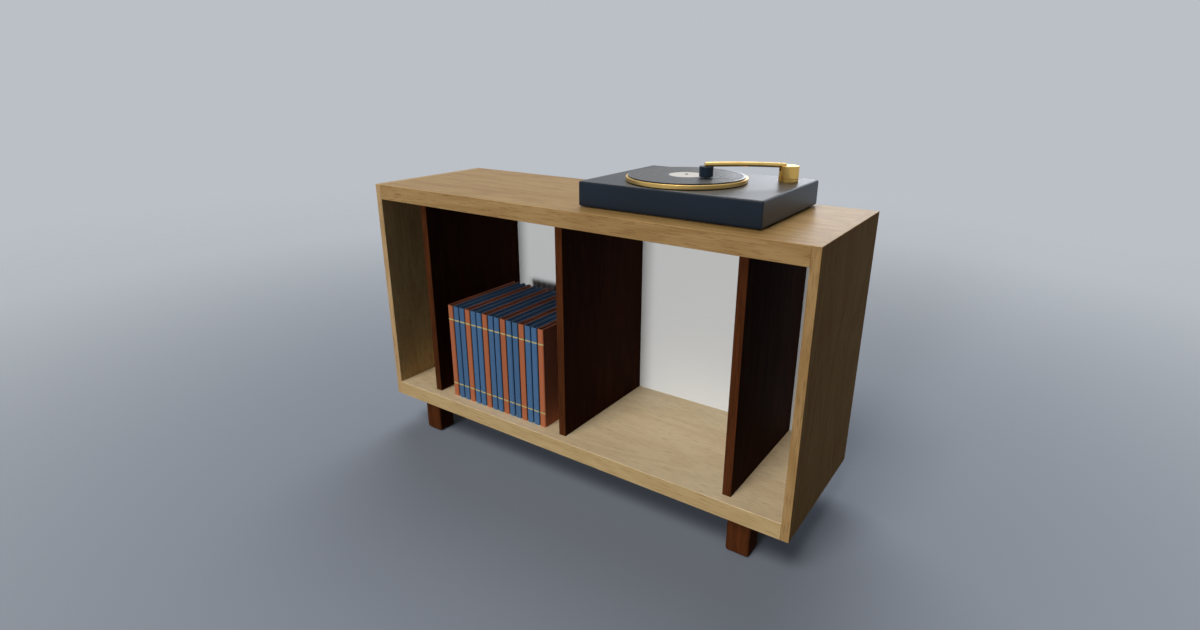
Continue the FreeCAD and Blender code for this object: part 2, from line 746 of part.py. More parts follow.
phono_sockets = new_body("phono_sockets")
socket_flanges = new_sketch(phono_sockets, "XZ", "plinth_rear")
socket_barrels = new_sketch(phono_sockets, "XZ", "plinth_rear + socket_flange_height")
socket_tails = new_sketch(phono_sockets, "XZ", "plinth_rear")
socket_bores = new_sketch(phono_sockets, "XZ", "plinth_rear + socket_flange_height + socket_length")
for socket_place in SOCKETS:
    circle(socket_flanges, socket_place, SOCKET_LEVEL, "socket_flange/2")
    circle(socket_barrels, socket_place, SOCKET_LEVEL, "socket_barrel/2")
    circle(socket_tails, socket_place, SOCKET_LEVEL, "socket_tail/2")
    circle(socket_bores, socket_place, SOCKET_LEVEL, "socket_bore/2")
pad(phono_sockets, socket_flanges, "socket_flange_height", True)
pad(phono_sockets, socket_barrels, "socket_length", True)
pad(phono_sockets, socket_tails, "plinth_wall")
pocket(phono_sockets, socket_bores, "socket_length", True)

power_inlet = new_body("power_inlet")
inlet_flange = new_sketch(power_inlet, "XZ", "plinth_rear")
circle(inlet_flange, INLET, SOCKET_LEVEL, "inlet_flange/2")
pad(power_inlet, inlet_flange, "socket_flange_height", True)
inlet_body = new_sketch(power_inlet, "XZ", "plinth_rear")
circle(inlet_body, INLET, SOCKET_LEVEL, "inlet_body/2")
pad(power_inlet, inlet_body, "plinth_wall")
inlet_bore = new_sketch(power_inlet, "XZ", "plinth_rear + socket_flange_height")
circle(inlet_bore, INLET, SOCKET_LEVEL, "inlet_bore/2")
pocket(power_inlet, inlet_bore, "inlet_bore_depth", True)


# Drive: bearing, spindle, inner drive wheel, platter, mat and record on one upright axis


bearing = turned("main_bearing", [
    ("0", "bearing_low"),
    ("bearing_diameter/2", "bearing_low"),
    ("bearing_diameter/2", "roof_level - bearing_flange_height"),
    ("bearing_flange/2", "roof_level - bearing_flange_height"),
    ("bearing_flange/2", "roof_level"),
    ("bearing_diameter/2", "roof_level"),
    ("bearing_diameter/2", "well_level + well_gap/2"),
    ("shaft_diameter/2 + running_fit", "well_level + well_gap/2"),
    ("shaft_diameter/2 + running_fit", "bearing_low + bearing_bottom"),
    ("0", "bearing_low + bearing_bottom"),
], *PLATTER)
flange_holes = new_sketch(bearing, "XY", "roof_level")
for hole_place in around(("0", "0"), "bearing_screw_circle", BEARING_SCREWS):
    circle(flange_holes, *hole_place, "deck_screw_diameter/2 + screw_fit")
pocket(bearing, flange_holes, "bearing_flange_height")

turned("spindle", [
    ("0", "shaft_low"),
    ("shaft_diameter/2", "shaft_low"),
    ("shaft_diameter/2", "web_level + platter_web/2"),
    ("spindle_diameter/2", "web_level + platter_web/2"),
    ("spindle_diameter/2", "spindle_top - spindle_dome"),
    ("spindle_diameter/2 - spindle_dome", "spindle_top"),
    ("0", "spindle_top"),
], *PLATTER)

turned("sub_platter", [
    ("shaft_diameter/2", "sub_platter_level"),
    ("sub_platter_diameter/2", "sub_platter_level"),
    ("sub_platter_diameter/2", "sub_platter_top"),
    ("sub_platter_hub/2", "sub_platter_top"),
    ("sub_platter_hub/2", "web_level"),
    ("shaft_diameter/2", "web_level"),
], *PLATTER)

platter = turned("platter", [
    ("shaft_diameter/2", "web_level"),
    ("platter_diameter/2 - platter_rim_width", "web_level"),
    ("platter_diameter/2 - platter_rim_width", "platter_level"),
    ("platter_diameter/2", "platter_level"),
    ("platter_diameter/2", "platter_top"),
    ("shaft_diameter/2", "platter_top"),
], *PLATTER)
round_edges(platter, "platter_round", lambda at, way: near(math.hypot(at.x, at.y), "platter_diameter/2"))

turned("slip_mat", [
    ("record_hole/2", "platter_top"),
    ("mat_diameter/2", "platter_top"),
    ("mat_diameter/2", "mat_top"),
    ("record_hole/2", "mat_top"),
], *PLATTER)

turned("record", [
    ("record_hole/2", "mat_top"),
    ("record_diameter/2", "mat_top"),
    ("record_diameter/2", "record_top"),
    ("groove_zone_outer/2", "record_top"),
    ("groove_zone_outer/2 - 10*groove_zone_drop", "record_top - groove_zone_drop"),
    ("groove_zone_inner/2 + 10*groove_zone_drop", "record_top - groove_zone_drop"),
    ("groove_zone_inner/2", "record_top"),
    ("record_hole/2", "record_top"),
], *PLATTER)

turned("record_label", [
    ("record_hole/2", "record_top"),
    ("label_diameter/2", "record_top"),
    ("label_diameter/2", "label_top"),
    ("record_hole/2", "label_top"),
], *PLATTER)

motor = turned("motor", [
    ("0", "roof_level - motor_height"),
    ("motor_diameter/2", "roof_level - motor_height"),
    ("motor_diameter/2", "roof_level - motor_flange_height"),
    ("motor_flange/2", "roof_level - motor_flange_height"),
    ("motor_flange/2", "roof_level"),
    ("motor_shaft_diameter/2 + running_fit", "roof_level"),
    ("motor_shaft_diameter/2 + running_fit", "roof_level - motor_height/2"),
    ("0", "roof_level - motor_height/2"),
], *MOTOR)
motor_flange_holes = new_sketch(motor, "XY", "roof_level")
for hole_place in around(("0", "0"), "motor_screw_circle", MOTOR_SCREWS):
    circle(motor_flange_holes, *hole_place, "deck_screw_diameter/2 + screw_fit")
pocket(motor, motor_flange_holes, "motor_flange_height")

turned("motor_shaft", [
    ("0", "roof_level - motor_height/2 + rest_gap"),
    ("motor_shaft_diameter/2", "roof_level - motor_height/2 + rest_gap"),
    ("motor_shaft_diameter/2", "pulley_level + pulley_height"),
    ("0", "pulley_level + pulley_height"),
], *MOTOR)

turned("motor_pulley", [
    ("motor_shaft_diameter/2", "pulley_level"),
    ("pulley_flange/2", "pulley_level"),
    ("pulley_flange/2", "pulley_level + pulley_flange_height"),
    ("pulley_diameter/2", "pulley_level + pulley_flange_height"),
    ("pulley_diameter/2", "pulley_level + pulley_height - pulley_flange_height"),
    ("pulley_flange/2", "pulley_level + pulley_height - pulley_flange_height"),
    ("pulley_flange/2", "pulley_level + pulley_height"),
    ("motor_shaft_diameter/2", "pulley_level + pulley_height"),
], *MOTOR)

belt = new_body("drive_belt")
belt_outline = new_sketch(belt, "XY", "belt_level")
belt_loop(belt_outline, PLATTER, "belt_inner_big", MOTOR, "belt_inner_small")
belt_loop(belt_outline, PLATTER, "belt_inner_big + belt_thickness", MOTOR, "belt_inner_small + belt_thickness")
pad(belt, belt_outline, "belt_height")


# Tonearm: a fixed post, a swivelling column on it and a bowed tube that lifts on a cross pin


turned("arm_base", [
    ("pivot_diameter/2", "deck_level"),
    ("column_diameter/2", "deck_level"),
    ("column_diameter/2", "arm_base_top"),
    ("pivot_diameter/2", "arm_base_top"),
], *PIVOT)

turned("arm_pivot_shaft", [
    ("0", "roof_level - nut_height - pivot_below_nut"),
    ("pivot_diameter/2", "roof_level - nut_height - pivot_below_nut"),
    ("pivot_diameter/2", "pivot_top"),
    ("0", "pivot_top"),
], *PIVOT)

nut = new_body("arm_base_nut", *PIVOT, "roof_level - nut_height")
nut_outline = new_sketch(nut, "XY")
polygon(nut_outline, around(("0", "0"), "nut_across/cos(30)", 6))
circle(nut_outline, "0", "0", "pivot_diameter/2")
pad(nut, nut_outline, "nut_height")

housing = turned("arm_housing", [
    ("pivot_diameter/2 + running_fit", "housing_low"),
    ("column_diameter/2", "housing_low"),
    ("column_diameter/2", "column_top"),
    ("0", "column_top"),
    ("0", "pivot_bore_top"),
    ("pivot_diameter/2 + running_fit", "pivot_bore_top"),
], *PIVOT, "arm_angle")
round_edges(housing, "column_round", lambda at, way: near(at.z, "column_top"))
arm_slot = new_sketch(housing, "XY", "column_top")
rectangle(arm_slot, "-slot_behind", "-slot_width/2", "column_diameter", "slot_width/2")
pocket(housing, arm_slot, "slot_depth")
pin_holes = new_sketch(housing, "XZ", "-lift_pin_length/2")
circle(pin_holes, "0", "lift_level", "lift_pin_diameter/2")
pocket(housing, pin_holes, "lift_pin_length")

lift_pin = new_body("lift_pin", *PIVOT, "0", "arm_angle")
pin_end = new_sketch(lift_pin, "XZ", "-lift_pin_length/2")
circle(pin_end, "0", "lift_level", "lift_pin_diameter/2")
pad(lift_pin, pin_end, "lift_pin_length", True)

block = new_body("arm_block", *PIVOT, "0", "arm_angle")
block_side = new_sketch(block, "XZ", "-slot_width/2 + block_fit")
rectangle(block_side, "-block_behind", "lift_level - block_below_pin", "block_ahead", "column_top")
pad(block, block_side, "slot_width - 2*block_fit", True)
block_bore = new_sketch(block, "XZ", "-slot_width/2")
circle(block_bore, "0", "lift_level", "lift_pin_diameter/2 + running_fit")
pocket(block, block_bore, "slot_width")
spigot = new_sketch(block, "YZ", "spigot_middle")
spigot.AttachmentOffset = FreeCAD.Placement(Vector(), FreeCAD.Rotation(Vector(-1, 0, 0), 1))
bind(spigot, "AttachmentOffset.Base.y", "spigot_level")
bind(spigot, "AttachmentOffset.Rotation.Angle", "spigot_slope")
circle(spigot, "0", "0", "arm_diameter/2 - arm_wall - running_fit")
pad(block, spigot, "spigot_length + 2*spigot_root")
block.Tip.Midplane = True


def bowed(body, sketch, kind, radius, nose_turn):
    """Carry a round section along the arm's bow, forwards to the nose and back to the tail."""
    doc.recompute()
    volume_before = body.Shape.Volume if body.Tip else 0
    circle(sketch, "0", "arm_crest_level", radius)
    bow_centre = "arm_crest_level - arm_bow_radius"
    half_axis = 10
    axis_level = number(bow_centre)
    axis = sketch.addGeometry(Part.LineSegment(Vector(-half_axis, axis_level, 0),
                                               Vector(half_axis, axis_level, 0)), True)
    pin_point(sketch, axis, 1, f"-{half_axis}", bow_centre)
    pin_point(sketch, axis, 2, f"{half_axis}", bow_centre)
    feature = body.newObject(kind, "Bow")
    feature.Profile = sketch
    feature.ReferenceAxis = (sketch, ["Axis0"])
    feature.Type = "TwoAngles"
    bind(feature, "Angle", nose_turn)
    bind(feature, "Angle2", "tail_angle")
    return volume_before


tube = new_body("arm_tube", *PIVOT, "0", "arm_angle")
bowed(tube, new_sketch(tube, "YZ", "arm_crest_from_pivot"), "PartDesign::Revolution",
      "arm_diameter/2", "nose_angle")
solid_tube = bowed(tube, new_sketch(tube, "YZ", "arm_crest_from_pivot"), "PartDesign::Groove",
                   "arm_diameter/2 - arm_wall", "bore_nose_angle")
cut_shows(tube, solid_tube)

headshell = turned("headshell", [
    ("head_diameter/2 - head_wall", "head_low"),
    ("head_diameter/2", "head_low"),
    ("head_diameter/2", "head_top"),
    ("0", "head_top"),
    ("0", "head_top - head_crown"),
    ("head_diameter/2 - head_wall", "head_top - head_crown"),
], "head_x", "head_y", "arm_angle")
round_edges(headshell, "head_round", lambda at, way:
            near(at.z, "head_top") or near(math.hypot(at.x, at.y), "head_diameter/2"))
saddle = new_sketch(headshell, "YZ", "arm_end_past_head + rest_gap")
circle(saddle, "0", "saddle_level", "arm_diameter/2 + running_fit")
pocket(headshell, saddle, "head_diameter")

cartridge = new_body("cartridge", "head_x", "head_y", "0", "arm_angle")
cartridge_outline = new_sketch(cartridge, "XY", "cartridge_low")
rectangle(cartridge_outline, "-cartridge_length/2", "-cartridge_width/2",
          "cartridge_length/2", "cartridge_width/2")
pad(cartridge, cartridge_outline, "head_top - head_crown - cartridge_low")

turned("stylus", [
    ("0", "stylus_low"),
    ("stylus_diameter/8", "stylus_low"),
    ("stylus_diameter/2", "cartridge_low"),
    ("0", "cartridge_low"),
], "head_x", "head_y")


# Check every piece, then write one file for each

doc.recompute()
for item in doc.Objects:
    if {"Invalid", "Error"} & set(item.State):
        raise ValueError(f"{item.Label} failed: {item.State}")
os.makedirs("parts", exist_ok=True)
for node in nodes:
    if node.Shape.isNull() or not node.Shape.isValid() or not node.Shape.Solids:
        raise ValueError(f"{node.Label} has no sound solid")
for node in nodes:
    node.Shape.exportStep(f"parts/{node.Label}.step")
print(len(nodes), "pieces,", sum(len(node.Shape.Solids) for node in nodes), "solids")
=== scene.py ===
# %% [markdown]
# # A record console, dressed in Blender
# The cabinet is an open oak carcass with walnut dividers, a row of record albums in one bay and a
# belt-driven record player on top. The solid model gives every size and place, so this lesson only adds
# what the eye looks for: softened edges, turned brass, pressed vinyl, book cloth and wood grain.

# %% Load the solid model
import math

import bmesh
import bpy
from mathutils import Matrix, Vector


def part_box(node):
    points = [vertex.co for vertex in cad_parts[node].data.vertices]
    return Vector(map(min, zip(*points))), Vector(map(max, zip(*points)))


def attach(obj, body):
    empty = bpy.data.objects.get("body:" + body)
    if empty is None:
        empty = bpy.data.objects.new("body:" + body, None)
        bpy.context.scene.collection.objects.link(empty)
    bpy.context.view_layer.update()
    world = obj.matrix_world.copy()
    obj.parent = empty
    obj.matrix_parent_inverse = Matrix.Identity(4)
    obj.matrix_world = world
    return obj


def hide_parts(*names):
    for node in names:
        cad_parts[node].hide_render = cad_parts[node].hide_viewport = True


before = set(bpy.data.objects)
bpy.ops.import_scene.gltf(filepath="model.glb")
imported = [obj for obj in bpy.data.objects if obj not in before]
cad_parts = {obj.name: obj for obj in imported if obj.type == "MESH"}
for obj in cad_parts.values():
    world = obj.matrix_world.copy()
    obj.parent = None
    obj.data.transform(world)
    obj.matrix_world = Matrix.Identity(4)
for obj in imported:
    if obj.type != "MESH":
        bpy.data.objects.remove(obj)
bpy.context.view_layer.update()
MM = 0.001


def corners(node):
    """The lowest and the highest corner of a solid, in metres."""
    low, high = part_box(node)
    return Vector(low), Vector(high)


def axis_of(node):
    """Where the upright axis of a round solid stands on the plan."""
    low, high = corners(node)
    return tuple(((low + high) / 2).xy)


PLATTER_AT = axis_of("platter")
PIVOT_AT = axis_of("arm_base")
MOTOR_AT = axis_of("motor_shaft")

# %% [markdown]
# ## Camera
# The picture was taken from the front right, a little above the top of the cabinet, with a wide lens.
# Setting the camera first means that each later piece can be judged in the same frame.

# %% Place the camera
CAMERA_PLACE = Vector((1.0905, -1.5608, 1.1676))
CAMERA_AIM = Vector((0.0, -0.0022, 0.4780))
SENSOR_WIDTH = 36.0
LENS = 20.266

bpy.ops.object.select_all(action="DESELECT")
bpy.ops.object.camera_add(location=CAMERA_PLACE)
camera = bpy.context.object
camera.rotation_euler = (CAMERA_AIM - CAMERA_PLACE).to_track_quat("-Z", "Y").to_euler()
camera.data.sensor_fit = "HORIZONTAL"
camera.data.sensor_width = SENSOR_WIDTH
camera.data.lens = LENS
bpy.context.scene.camera = camera
print("camera looks from", tuple(CAMERA_PLACE))

# %% [markdown]
# ## Tools of the bench
# Pieces are shaped as by hand: a primitive is added at its size, parts of it are selected by their place,
# and an operator is used on what is selected. An operator acts on everything that is selected, so each tool
# first lets go of all the rest. Turned pieces, such as the platter, start as one point that is drawn out
# into a profile and spun round its axis, which gives true circles and clean edges.

# %% Select pieces and parts of them


def clear_selection():
    if bpy.context.mode != "OBJECT":
        bpy.ops.object.mode_set(mode="OBJECT")
    bpy.ops.object.select_all(action="DESELECT")


def take(piece):
    clear_selection()
    piece.select_set(True)
    bpy.context.view_layer.objects.active = piece


def pick(piece, kind, test):
    """Open a piece in edit mode and select the points, edges or faces that pass a test."""
    take(piece)
    bpy.ops.object.mode_set(mode="EDIT")
    bpy.ops.mesh.select_mode(type=kind)
    bpy.ops.mesh.select_all(action="DESELECT")
    mesh = bmesh.from_edit_mesh(piece.data)
    items = {"VERT": mesh.verts, "EDGE": mesh.edges, "FACE": mesh.faces}[kind]
    chosen = [item for item in items if test(item)]
    for item in chosen:
        item.select_set(True)
    mesh.select_flush_mode()
    bmesh.update_edit_mesh(piece.data)
    return len(chosen)


def middle_of(edge):
    return (edge.verts[0].co + edge.verts[1].co) / 2


print("tools that select:", take.__name__, pick.__name__)

# %% Shape blocks


def name_piece(piece, name):
    piece.name = name
    piece.data.name = name
    return piece


def settle(piece):
    take(piece)
    bpy.ops.object.transform_apply(location=True, rotation=True, scale=True)


def use_modifier(piece, kind, **settings):
    take(piece)
    modifier = piece.modifiers.new(kind, kind)
    for key, value in settings.items():
        setattr(modifier, key, value)
    bpy.ops.object.modifier_apply(modifier=modifier.name)


def new_block(name, low, high):
    clear_selection()
    bpy.ops.mesh.primitive_cube_add(size=1, location=(Vector(low) + Vector(high)) / 2)
    block = name_piece(bpy.context.object, name)
    block.scale = Vector(high) - Vector(low)
    settle(block)
    return block


def soften(piece, width, segments=3, angle=40):
    use_modifier(piece, "BEVEL", width=width, segments=segments, limit_method="ANGLE",
                 angle_limit=math.radians(angle), use_clamp_overlap=True)


print("tools that shape:", new_block.__name__, soften.__name__)

# %% Turn round pieces
WELD = 0.001 * MM


def face_outwards(piece):
    take(piece)
    bpy.ops.object.mode_set(mode="EDIT")
    bpy.ops.mesh.select_all(action="SELECT")
    bpy.ops.mesh.remove_doubles(threshold=WELD)
    bpy.ops.mesh.normals_make_consistent(inside=False)
    bpy.ops.object.mode_set(mode="OBJECT")


def in_mm(*pairs):
    return [(radius * MM, height * MM) for radius, height in pairs]


def turn(name, profile, centre=(0, 0), steps=160, ring=False):
    """Draw a profile of radius and height out of one point and spin it round an upright axis."""
    clear_selection()
    bpy.ops.mesh.primitive_plane_add(size=0.01, location=(0, 0, 0))
    piece = name_piece(bpy.context.object, name)
    bpy.ops.object.mode_set(mode="EDIT")
    bpy.ops.mesh.select_mode(type="VERT")
    bpy.ops.mesh.select_all(action="SELECT")
    bpy.ops.mesh.merge(type="CENTER")
    radius, height = profile[0]
    bpy.ops.transform.translate(value=(centre[0] + radius, centre[1], height))
    for next_radius, next_height in profile[1:]:
        step = (next_radius - radius, 0, next_height - height)
        bpy.ops.mesh.extrude_vertices_move(TRANSFORM_OT_translate={"value": step})
        radius, height = next_radius, next_height
    if ring:
        last = len(profile) - 1
        pick(piece, "VERT", lambda point: point.index in (0, last))
        bpy.ops.mesh.edge_face_add()
    bpy.ops.mesh.select_all(action="SELECT")
    bpy.ops.mesh.spin(steps=steps, angle=2 * math.pi, center=(centre[0], centre[1], 0), axis=(0, 0, 1))
    face_outwards(piece)
    return piece


print("tool that turns:", turn.__name__)

# %% Join, copy and hand over


def discard(*pieces):
    for piece in pieces:
        take(piece)
        bpy.ops.object.delete()


def copy_piece(piece, name, shift=(0, 0, 0)):
    twin = piece.copy()
    twin.data = piece.data.copy()
    bpy.context.collection.objects.link(twin)
    name_piece(twin, name)
    twin.location = Vector(shift)
    settle(twin)
    return twin


def join(pieces, name):
    take(pieces[0])
    for piece in pieces[1:]:
        piece.select_set(True)
    bpy.ops.object.join()
    return name_piece(pieces[0], name)


def hand_over(piece, body, slot, node=None, finish=None, smooth=35):
    """Give a finished piece its look, its body and the solid that it stands for."""
    settle(piece)
    bpy.ops.object.shade_smooth_by_angle(angle=math.radians(smooth))
    use_modifier(piece, "WEIGHTED_NORMAL", keep_sharp=True)
    if finish:
        piece.data.materials.clear()
        piece.data.materials.append(finish)
    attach(piece, body)
    if node:
        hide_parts(node)
    print(piece.name, len(piece.data.polygons), "faces, rides on", body)


print("tools that finish:", copy_piece.__name__, join.__name__, hand_over.__name__)

# %% [markdown]
# ## Tools for finishes
# A finish is a small network of nodes. One function turns a colour as it looks on screen into the linear
# numbers that the renderer works in, and one adds a node with its settings and links.

# %% Mix colours and add nodes


def colour(code):
    shares = [int(code[place:place + 2], 16) / 255 for place in (1, 3, 5)]
    linear = [share / 12.92 if share <= 0.04045 else ((share + 0.055) / 1.055) ** 2.4 for share in shares]
    return (*linear, 1.0)


def add(tree, kind, inputs=None, **settings):
    node = tree.nodes.new("ShaderNode" + kind)
    for key, value in settings.items():
        setattr(node, key, value)
    for socket, value in (inputs or {}).items():
        if isinstance(value, bpy.types.NodeSocket):
            tree.links.new(value, node.inputs[socket])
        else:
            node.inputs[socket].default_value = value
    return node


def new_finish(name, roughness=0.5, **sockets):
    material = bpy.data.materials.new(name)
    material.use_nodes = True
    tree = material.node_tree
    tree.nodes.clear()
    shader = add(tree, "BsdfPrincipled", {"Roughness": roughness, **sockets})
    add(tree, "OutputMaterial", {"Surface": shader.outputs["BSDF"]})
    place = add(tree, "TexCoord").outputs["Object"]
    return material, tree, shader, place


def wire(tree, shader, inputs):
    for socket, value in inputs.items():
        tree.links.new(value, shader.inputs[socket])


def per_mm(size):
    """The texture scale at which one feature of a pattern is about this many millimetres wide."""
    return 1 / (size * MM)


MOST_NOISE = {"From Min": 0.3, "From Max": 0.7}  # where nearly all values of a noise lie
print("mid grey is written #808080 and mixed as", round(colour("#808080")[0], 3))

# %% [markdown]
# ## Oak and walnut
# Flat-sawn timber shows growth rings as long nested loops, because the saw meets the rings at a slant. The
# contour lines of a slow noise, stretched along the grain, make the same loops. Over them lie fine fibres
# and the open pores that oak is known for: short dark dashes, a fraction of a millimetre wide on the real
# board and drawn about two millimetres wide here so that they show. The pattern fills space, so it runs
# round the edges of a board as real grain does. An oiled surface is satin, a little duller in the pores.
# Upper faces shine more, because they are waxed and wiped. The front edges of the oak are painted darker than
# its faces, and the faces of the walnut darker than their edges: this is painted shade. The shelf and the
# left side are painted paler, which is painted light, and the faces of the right side darker, which is
# painted shade.

# %% Draw the grain
ALONG_X = (0, 0, 0)
ALONG_Z = (0, math.pi / 2, 0)
LOOP_STRETCH = (0.16, 1, 1)
FIBRE_STRETCH = (0.03, 1, 1)
PORE_STRETCH = (0.05, 1, 1)
FIBRE_MM = 4
PORE_MM = 2
PATCH_MM = 160


def grain_of(tree, place, turn_of_grain, shift, loop_mm, rings):
    """The growth rings, fibres, open pores and slow patches of a board, as four values."""
    grain = add(tree, "Mapping", {"Vector": place, "Rotation": turn_of_grain, "Location": shift})
    slow = add(tree, "Mapping", {"Vector": grain.outputs[0], "Scale": LOOP_STRETCH})
    figure = add(tree, "TexNoise", {"Vector": slow.outputs[0], "Scale": per_mm(loop_mm), "Detail": 1.5,
                                    "Roughness": 0.4, "Distortion": 0.35})
    turns = add(tree, "Math", {0: figure.outputs["Fac"], 1: 2 * math.pi * rings}, operation="MULTIPLY")
    wave = add(tree, "Math", {0: turns.outputs[0]}, operation="SINE")
    ring = add(tree, "MapRange", {"Value": wave.outputs[0], "From Min": -1.0, "From Max": 1.0})
    long_fibre = add(tree, "Mapping", {"Vector": grain.outputs[0], "Scale": FIBRE_STRETCH})
    fibre = add(tree, "TexNoise", {"Vector": long_fibre.outputs[0], "Scale": per_mm(FIBRE_MM),
                                   "Detail": 5.0, "Roughness": 0.6})
    dash = add(tree, "Mapping", {"Vector": grain.outputs[0], "Scale": PORE_STRETCH})
    pores = add(tree, "TexNoise", {"Vector": dash.outputs[0], "Scale": per_mm(PORE_MM), "Detail": 2.0})
    open_pore = add(tree, "MapRange", {"Value": pores.outputs["Fac"], "From Min": 0.55, "From Max": 0.7})
    patch = add(tree, "TexNoise", {"Vector": slow.outputs[0], "Scale": per_mm(PATCH_MM), "Detail": 2.0})
    return ring.outputs[0], fibre.outputs["Fac"], open_pore.outputs[0], patch.outputs["Fac"]


print("fibres are", FIBRE_MM, "mm, pores", PORE_MM, "mm and patches", PATCH_MM, "mm wide")

# %% Colour the grain
RING_SHARE = 0.33
PORE_SHARE = 0.65


def colour_grain(tree, ring, fibre, open_pore, patch, pale, deep, pore):
    """Rings, fibres and patches deepen the pale wood, and pores darken it further."""
    ring_share = add(tree, "Math", {0: ring, 1: RING_SHARE}, operation="MULTIPLY")
    fibre_share = add(tree, "MapRange", {"Value": fibre, **MOST_NOISE, "To Min": 0.0, "To Max": 0.45})
    patch_share = add(tree, "MapRange", {"Value": patch, **MOST_NOISE, "To Min": -0.12, "To Max": 0.2})
    both = add(tree, "Math", {0: ring_share.outputs[0], 1: fibre_share.outputs[0]})
    depth = add(tree, "Math", {0: both.outputs[0], 1: patch_share.outputs[0]}, use_clamp=True)
    body = add(tree, "Mix", {0: depth.outputs[0], 6: colour(pale), 7: colour(deep)}, data_type="RGBA")
    pore_share = add(tree, "Math", {0: open_pore, 1: PORE_SHARE}, operation="MULTIPLY")
    wood = add(tree, "Mix", {0: pore_share.outputs[0], 6: body.outputs[2], 7: colour(pore)},
               data_type="RGBA")
    return wood.outputs[2]


def paint_face_shade(tree, wood, face, edge):
    """Paint shade on the upright faces and the front edges, and say which faces look up."""
    facing = add(tree, "SeparateXYZ", {0: add(tree, "TexCoord").outputs["Normal"]})
    to_front = add(tree, "MapRange", {"Value": facing.outputs[1], "From Min": -0.5, "From Max": -0.9})
    upward = add(tree, "MapRange", {"Value": facing.outputs[2], "From Min": 0.5, "From Max": 0.9})
    # Painted shade: front edges take the edge tint and the other upright faces the face tint, while faces
    # that look up keep their own colour.
    upright = add(tree, "Mix", {0: to_front.outputs[0], 6: colour(face), 7: colour(edge)}, data_type="RGBA")
    stain_and_painted_shade = add(tree, "Mix", {0: upward.outputs[0], 6: upright.outputs[2], 7: colour("#FFFFFF")},
              data_type="RGBA")
    shaded_wood = add(tree, "Mix", {0: 1.0, 6: wood, 7: stain_and_painted_shade.outputs[2]}, data_type="RGBA", blend_type="MULTIPLY")
    return shaded_wood.outputs[2], upward.outputs[0]


print("rings count for", RING_SHARE, "and pores for", PORE_SHARE, "of the colour")

# %% Finish the timber
WIPED = 0.2  # how much smoother the wiped upper faces are


def timber(name, pale, deep, pore, face, edge, turn_of_grain, loop_mm, rings, shine, gleam, wax=0,
           shift=(0, 0, 0)):
    material, tree, shader, place = new_finish(name, **{
        "IOR": 1.48, "Specular IOR Level": gleam, "Coat Roughness": 0.32})
    ring, fibre, open_pore, patch = grain_of(tree, place, turn_of_grain, shift, loop_mm, rings)
    wood = colour_grain(tree, ring, fibre, open_pore, patch, pale, deep, pore)
    # Painted shade: the upright faces and front edges are darkened by their tints.
    shaded_wood, upward = paint_face_shade(tree, wood, face, edge)
    dull = add(tree, "MapRange", {"Value": fibre, **MOST_NOISE,
                                  "To Min": shine - 0.06, "To Max": shine + 0.08})
    gloss = add(tree, "Math", {0: upward, 1: -WIPED, 2: dull.outputs[0]}, operation="MULTIPLY_ADD")
    height = add(tree, "Math", {0: fibre, 1: open_pore}, operation="SUBTRACT")
    relief = add(tree, "Bump", {"Strength": 0.25, "Distance": 0.15 * MM, "Height": height.outputs[0]})
    wire(tree, shader, {"Base Color": shaded_wood, "Roughness": gloss.outputs[0], "Normal": relief.outputs[0]})
    if wax:
        waxed = add(tree, "Math", {0: upward, 1: wax}, operation="MULTIPLY")
        wire(tree, shader, {"Coat Weight": waxed.outputs[0]})
    return material


# The face and edge tints are painted shade: the oak's front edges and the walnut's faces are darkened where
# less light falls. The shelf and the left side are paler copies of the oak, which is painted light, and the
# right side's faces are tinted darker, which is painted shade.
OAK_EDGES_PAINTED_SHADE = dict(pale="#B69660", deep="#947140", pore="#6E522C", face="#FFFFFF", edge="#DAD9E0", loop_mm=95,
           rings=6, shine=0.66, gleam=0.07, wax=0.22)
SHELF_OAK_PAINTED_LIGHT = {**OAK_EDGES_PAINTED_SHADE, "pale": "#F0DDB8", "deep": "#DBC298", "pore": "#B1966B", "edge": "#B5AB95"}
LEFT_OAK_PAINTED_LIGHT = {**OAK_EDGES_PAINTED_SHADE, "pale": "#C8AA77", "deep": "#A88757"}
RIGHT_OAK_PAINTED_SHADE = {**OAK_EDGES_PAINTED_SHADE, "face": "#DDD0B8"}
WALNUT_FACES_PAINTED_SHADE = dict(pale="#4F2A14", deep="#331A0C", pore="#1A0C05", face="#B0A298", edge="#FFFFFF", loop_mm=70,
              rings=5, shine=0.72, gleam=0.03)
FOOT_WALNUT = {**WALNUT_FACES_PAINTED_SHADE, "face": "#FFFFFF"}
BEECH = dict(pale="#CFAE82", deep="#B99668", pore="#9A7850", face="#FFFFFF", edge="#FFFFFF", loop_mm=60,
             rings=4, shine=0.6, gleam=0.2)
oak_top = timber("oak_oiled_lengthwise_edge_painted_shade", turn_of_grain=ALONG_X, **OAK_EDGES_PAINTED_SHADE)
oak_shelf = timber("oak_oiled_shelf_painted_light", turn_of_grain=ALONG_X, shift=(0.4, 0.3, 0.2), **SHELF_OAK_PAINTED_LIGHT)
oak_left = timber("oak_oiled_left_side_painted_light", turn_of_grain=ALONG_Z, shift=(0.1, 0.2, 0.5), **LEFT_OAK_PAINTED_LIGHT)
oak_right = timber("oak_oiled_right_side_painted_shade", turn_of_grain=ALONG_Z, **RIGHT_OAK_PAINTED_SHADE)
walnut_upright = timber("walnut_oiled_upright_painted_shade", turn_of_grain=ALONG_Z, **WALNUT_FACES_PAINTED_SHADE)
walnut_feet = timber("walnut_oiled_feet", turn_of_grain=ALONG_Z, shift=(0.3, 0.1, 0.2), **FOOT_WALNUT)
beech = timber("beech_dowel", turn_of_grain=ALONG_X, **BEECH)
print("timber finishes:", [item.name for item in bpy.data.materials if "oiled" in item.name])

